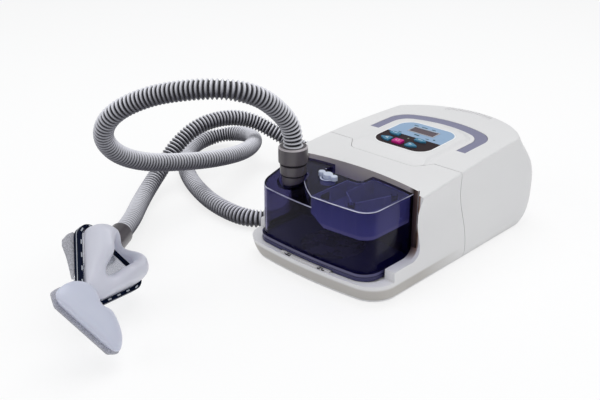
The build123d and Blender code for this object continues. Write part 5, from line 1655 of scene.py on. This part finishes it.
@dataclass
class Mask:
    """The nasal mask: frame, ring, cushion and forehead support.

    Sizes are in the mask's own frame, whose Z goes towards the face and whose Y goes up to the forehead. The
    fields origin, across and to_face place it in the machine's frame.
    """

    origin: Point = (-106.8, -325.2, 44.7)
    across: Point = (-0.435, -0.462, 0.773)
    to_face: Point = (0.693, 0.376, 0.615)
    half: float = 54.5
    low: float = -38.8
    high: float = 70.0
    corner: float = 18.0
    ring_front: float = 4.5
    arc_steps: int = 14
    clear_edge: float = 0.4
    thin_edge: float = 0.3
    ring_edge: float = 0.8

    # The cushion.
    rays: int = 120
    cushion_thick: float = 1.8
    cushion_sunk: float = 0.2
    crest_cheek: float = 35.5
    crest_bridge: float = 19.0
    crest_lip: float = 22.0
    bridge_narrow: float = 2.2
    lip_narrow: float = 7.0
    lip_pull: float = 0.10
    lip_pull_narrow: float = 6.0
    wall: tuple[WallLevel, ...] = (
        WallLevel(-4.9, 13.1, 0.0, lip_pulled=False), WallLevel(-4.9, 13.1, 0.12, lip_pulled=False),
        WallLevel(-5.6, 13.0, 0.42), WallLevel(-7.6, 14.5, 0.76), WallLevel(-12.2, 13.0, 0.955, scale=0.985),
    )
    rolls: tuple[RollLevel, ...] = (
        RollLevel(0.28, 1.0, lip_pulled=True), RollLevel(0.62, 0.93), RollLevel(0.90, 0.76),
        RollLevel(1.0, 0.54),
    )
    wall_steps: int = 12
    mouth: tuple[Pair, ...] = ((-18.0, -20.5), (18.0, -20.5), (0.0, 20.5))
    mouth_corner: float = 3.6
    mouth_steps: int = 10

    # The forehead pad. A level is a height over the pad's foot and a share of the full outline.
    pad_low: float = 21.1
    pad_front: float = 17.0
    pad_brow: float = 13.0
    pad_lean: Pair = (0.22, 0.58)
    pad_skew: float = -7.8
    pad_half: float = 40.0
    pad_top: float = 99.5
    pad_bulge: float = 56.0
    pad_corner: float = 8.0
    pad_middle: Pair = (0.0, 82.0)
    pad_full_y: Pair = (70.0, 100.0)
    pad_levels: tuple[Pair, ...] = (
        (0.0, 0.90), (1.5, 0.905), (4.5, 0.93), (7.5, 0.98), (9.6, 1.0), (11.2, 0.985), (12.9, 0.92),
        (14.2, 0.80), (15.0, 0.60), (15.3, 0.35), (15.35, 0.06),
    )
    dent_deep: float = 9.0
    dent_x: float = -3.0
    dent_width: float = 9.0

    # The ring's slots and seam, and the strap tab. A point of the seam's profile is how far out and up it is.
    slot_inset: float = 2.15
    slot_sunk: float = 0.12
    slot_pitch: float = 15.5
    slot_size: Point = (5.2, 1.5, 0.6)
    seam_profile: tuple[Pair, ...] = ((-0.4, -0.5), (0.16, -0.5), (0.16, 0.5), (-0.4, 0.5))
    tab_corners: tuple[Pair, ...] = (
        (20.0, 30.0), (30.5, 17.5), (36.5, 11.0), (46.0, 3.0), (49.0, -3.0), (47.8, -13.0), (44.5, -20.0),
        (38.0, -20.0), (30.0, -2.0),
    )
    tab_levels: Pair = (-9.0, -5.0)
    tab_edge: float = 0.8

    def frame_matrix(self) -> Matrix:
        """Gives the mask's own frame.

        Returns:
            The matrix from the mask's own millimetres to the machine's frame in metres.
        """
        face = Vector(self.to_face).normalized()
        side = Vector(self.across)
        side = (side - side.dot(face) * face).normalized()
        up = face.cross(side)
        turn = Matrix((side, up, face)).transposed().to_4x4()
        return Matrix.Translation(Vector(self.origin) * MM) @ turn @ Matrix.Scale(MM, 4)

    def in_place(self, points: Sequence[Sequence[float]], height: float) -> list[Vector]:
        """Gives an outline at a height over the mask's plane, in the machine's frame in metres."""
        place = self.frame_matrix()
        return [place @ Vector((x, y, height)) for x, y in points]

    def ring_corners(self) -> list[Pair]:
        """Gives the ring's sharp corners, counter-clockwise."""
        return [(-self.half, self.low), (self.half, self.low), (0.0, self.high)]

    def crest(self, angle: float) -> float:
        """Gives the cushion's height over the mask's plane at one angle round it.

        Args:
            angle: From the mask's own X axis, in radians; the nose's bridge is at a quarter turn.

        Returns:
            The height in millimetres.
        """
        bridge = max(0.0, math.sin(angle)) ** self.bridge_narrow
        lip = max(0.0, -math.sin(angle)) ** self.lip_narrow
        bridge_drop = (self.crest_cheek - self.crest_bridge) * bridge
        return self.crest_cheek - bridge_drop - (self.crest_cheek - self.crest_lip) * lip

    def cushion(self) -> None:
        """Builds the soft cushion: a wall that rolls over two cheek lobes into the opening for the nose."""
        start = math.pi / 2
        outlines = [even_outline(
            rounded_outline(self.ring_corners(), level.grow, level.corner, self.wall_steps), self.rays, start,
        ) for level in self.wall]
        mouth = even_outline(
            rounded_outline(self.mouth, 0.0, self.mouth_corner, self.mouth_steps), self.rays, start)
        place = self.frame_matrix()
        rings: list[list[Vector]] = [[] for _ in range(len(self.wall) + len(self.rolls))]
        for index in range(self.rays):
            angle = start + 2 * math.pi * index / self.rays
            rise = self.crest(angle) - self.ring_front
            pull = 1.0 - self.lip_pull * max(0.0, -math.sin(angle)) ** self.lip_pull_narrow
            profile = [
                (outline[index] * level.scale * (pull if level.lip_pulled else 1.0), level.height)
                for level, outline in zip(self.wall, outlines)
            ]
            crest, inner = outlines[-1][index], mouth[index]
            profile += [
                (crest.lerp(inner, level.way_in) * (pull if level.lip_pulled else 1.0), level.height)
                for level in self.rolls
            ]
            for ring, (spot, share) in zip(rings, profile):
                height = self.ring_front + (share * rise if share else -self.cushion_sunk)
                ring.append(place @ Vector((spot.x, spot.y, height)))
        piece = add_mesh("cushion", from_rings("cushion", rings, close_ends=False), SILICONE, "mask")
        wall = piece.modifiers.new("wall", "SOLIDIFY")
        wall.thickness = self.cushion_thick * MM
        wall.offset = -1.0
        round_off = piece.modifiers.new("round", "SUBSURF")
        round_off.levels = 1
        round_off.render_levels = 1
        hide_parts("mask_cushion")

    def pad(self) -> None:
        """Builds the forehead pad: a wedge of a dome, low at its straight edge and full at its two lobes."""
        outline = self.pad_outline()
        middle = Vector(self.pad_middle)
        place = self.frame_matrix()
        thin_y, full_y = self.pad_full_y[1], self.pad_full_y[1] - self.pad_full_y[0]
        rings = []
        for level, share in self.pad_levels:
            ring = []
            for point in outline:
                spot = middle + (point - middle) * share
                full = max(0.0, min(1.0, (thin_y - spot.y) / full_y))
                thick = self.pad_brow + (self.pad_front - self.pad_brow) * math.sin(full * math.pi / 2)
                high = level * thick / self.pad_levels[-1][0]
                ring.append(place @ Vector((
                    spot.x + self.pad_lean[0] * high, spot.y + self.pad_lean[1] * high, self.pad_low + high)))
            rings.append(ring)
        piece = add_mesh("brow_pad", from_rings("brow_pad", rings), PAD_SILICONE, "forehead_support")
        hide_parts("forehead_pad")

    def pad_outline(self) -> list[Vector]:
        """Gives the forehead pad's outline: an arc with a dent and two lobes, and a straight edge.

        Returns:
            The outline's points, counter-clockwise.
        """
        half, corner = self.pad_half, self.pad_corner
        side = self.pad_top - corner
        drop = side - self.pad_bulge
        radius = (half * half + drop * drop) / (2 * drop)
        reach = math.asin(half / radius)
        arc_steps, corner_steps, edge_steps = 40, 9, 12
        points = []
        for step in range(arc_steps + 1):
            angle = -reach + 2 * reach * step / arc_steps
            off = radius * math.sin(angle)
            dent = self.dent_deep * math.exp(-((off - self.dent_x) / self.dent_width) ** 2)
            lobe = self.pad_skew * off / half * (1.0 - (off / half) ** 2)
            points.append(Vector((off, self.pad_bulge + radius - radius * math.cos(angle) + dent + lobe)))

        def round_corner(middle_x: float, start: float) -> None:
            """Adds a corner's quarter turn."""
            for step in range(1, corner_steps):
                angle = start + math.pi / 2 * step / corner_steps
                points.append(Vector((middle_x + corner * math.cos(angle), side + corner * math.sin(angle))))

        round_corner(half - corner, 0.0)
        for step in range(edge_steps + 1):
            points.append(Vector(((half - corner) * (1 - 2 * step / edge_steps), self.pad_top)))
        round_corner(corner - half, math.pi / 2)
        return points

    def slot_tree(self) -> bpy.types.NodeTree:
        """Makes the tree that sets small plates along a closed line.

        Returns:
            The Geometry Nodes tree.
        """
        work, inp, out = geometry_tree("slots_on_line", {
            "Pitch": "NodeSocketFloat", "Size": "NodeSocketVector", "Face": "NodeSocketVector",
        })
        size = inp.outputs
        line = work.node("GeometryNodeMeshToCurve", Mesh=size["Geometry"]).outputs[0]
        spots = work.node("GeometryNodeResampleCurve", {"mode": "LENGTH"}, Curve=line, Length=size["Pitch"])
        lean = work.node(
            "FunctionNodeAxesToRotation", {"primary_axis": "Z", "secondary_axis": "X"},
            Primary_Axis=size["Face"], Secondary_Axis=work.node("GeometryNodeInputTangent").outputs[0],
        )
        plate = work.node("GeometryNodeMeshCube", Size=size["Size"])
        set_down = work.node(
            "GeometryNodeInstanceOnPoints", Points=spots.outputs[0], Instance=plate.outputs[0],
            Rotation=lean.outputs[0],
        )
        end_tree(work, inp, out, set_down.outputs[0])
        return work.tree

    def ring_details(self) -> None:
        """Adds the ring's row of pale slots and the pale line round its side."""
        inset = self.slot_inset
        outline = rounded_outline(self.ring_corners(), -inset, self.corner - inset, self.arc_steps)
        verts = [tuple(point) for point in self.in_place(outline, self.ring_front - self.slot_sunk)]
        mesh = bpy.data.meshes.new("slot_line")
        mesh.from_pydata(verts, [(index, (index + 1) % len(verts)) for index in range(len(verts))], [])
        slots = run_tree(stand("slot_line", mesh), self.slot_tree(), {
            "Pitch": self.slot_pitch * MM, "Size": tuple(value * MM for value in self.slot_size),
            "Face": tuple(Vector(self.to_face).normalized()), "Material": SLOT_WHITE.material(),
        }, "ring_slots")
        add_mesh("ring_slots", slots, SLOT_WHITE, "mask")
        rings = [self.in_place(
            rounded_outline(self.ring_corners(), grow, self.corner + grow, self.arc_steps), level,
        ) for grow, level in self.seam_profile]
        add_mesh("ring_seam", closed_loop("ring_seam", rings), SLOT_WHITE, "mask")

    def tab(self) -> None:
        """Adds the clear strap tab at the frame's +X side."""
        rings = [self.in_place(self.tab_corners, level) for level in self.tab_levels]
        piece = add_mesh("strap_tab", from_rings("strap_tab", rings), TAB_CLEAR, "mask")
        round_edges(piece, self.tab_edge, limit_method="ANGLE")

    def build(self) -> None:
        """Builds and dresses the mask."""
        smooth_copy("mask_frame", "mask", FRAME_CLEAR, bevel=self.clear_edge)
        smooth_copy("frame_knuckle", "mask", FRAME_CLEAR, bevel=self.thin_edge)
        smooth_copy("mask_ring", "mask", RING_NAVY, bevel=self.ring_edge)
        self.cushion()
        self.ring_details()
        self.tab()
        smooth_copy("forehead_arm", "forehead_support", FRAME_CLEAR, bevel=self.clear_edge)
        smooth_copy("forehead_plate", "forehead_support", TAB_CLEAR, bevel=self.thin_edge)
        self.pad()


def main() -> None:
    """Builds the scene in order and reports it."""
    logging.basicConfig(level=logging.INFO, format="%(name)s: %(message)s")
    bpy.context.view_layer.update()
    for assembly in (Studio(), Hose(), Humidifier(), WaterChamber(), BlowerUnit(), Mask()):
        assembly.build()
        LOG.info("%s built", type(assembly).__name__)


if __name__ == "__main__":
    main()
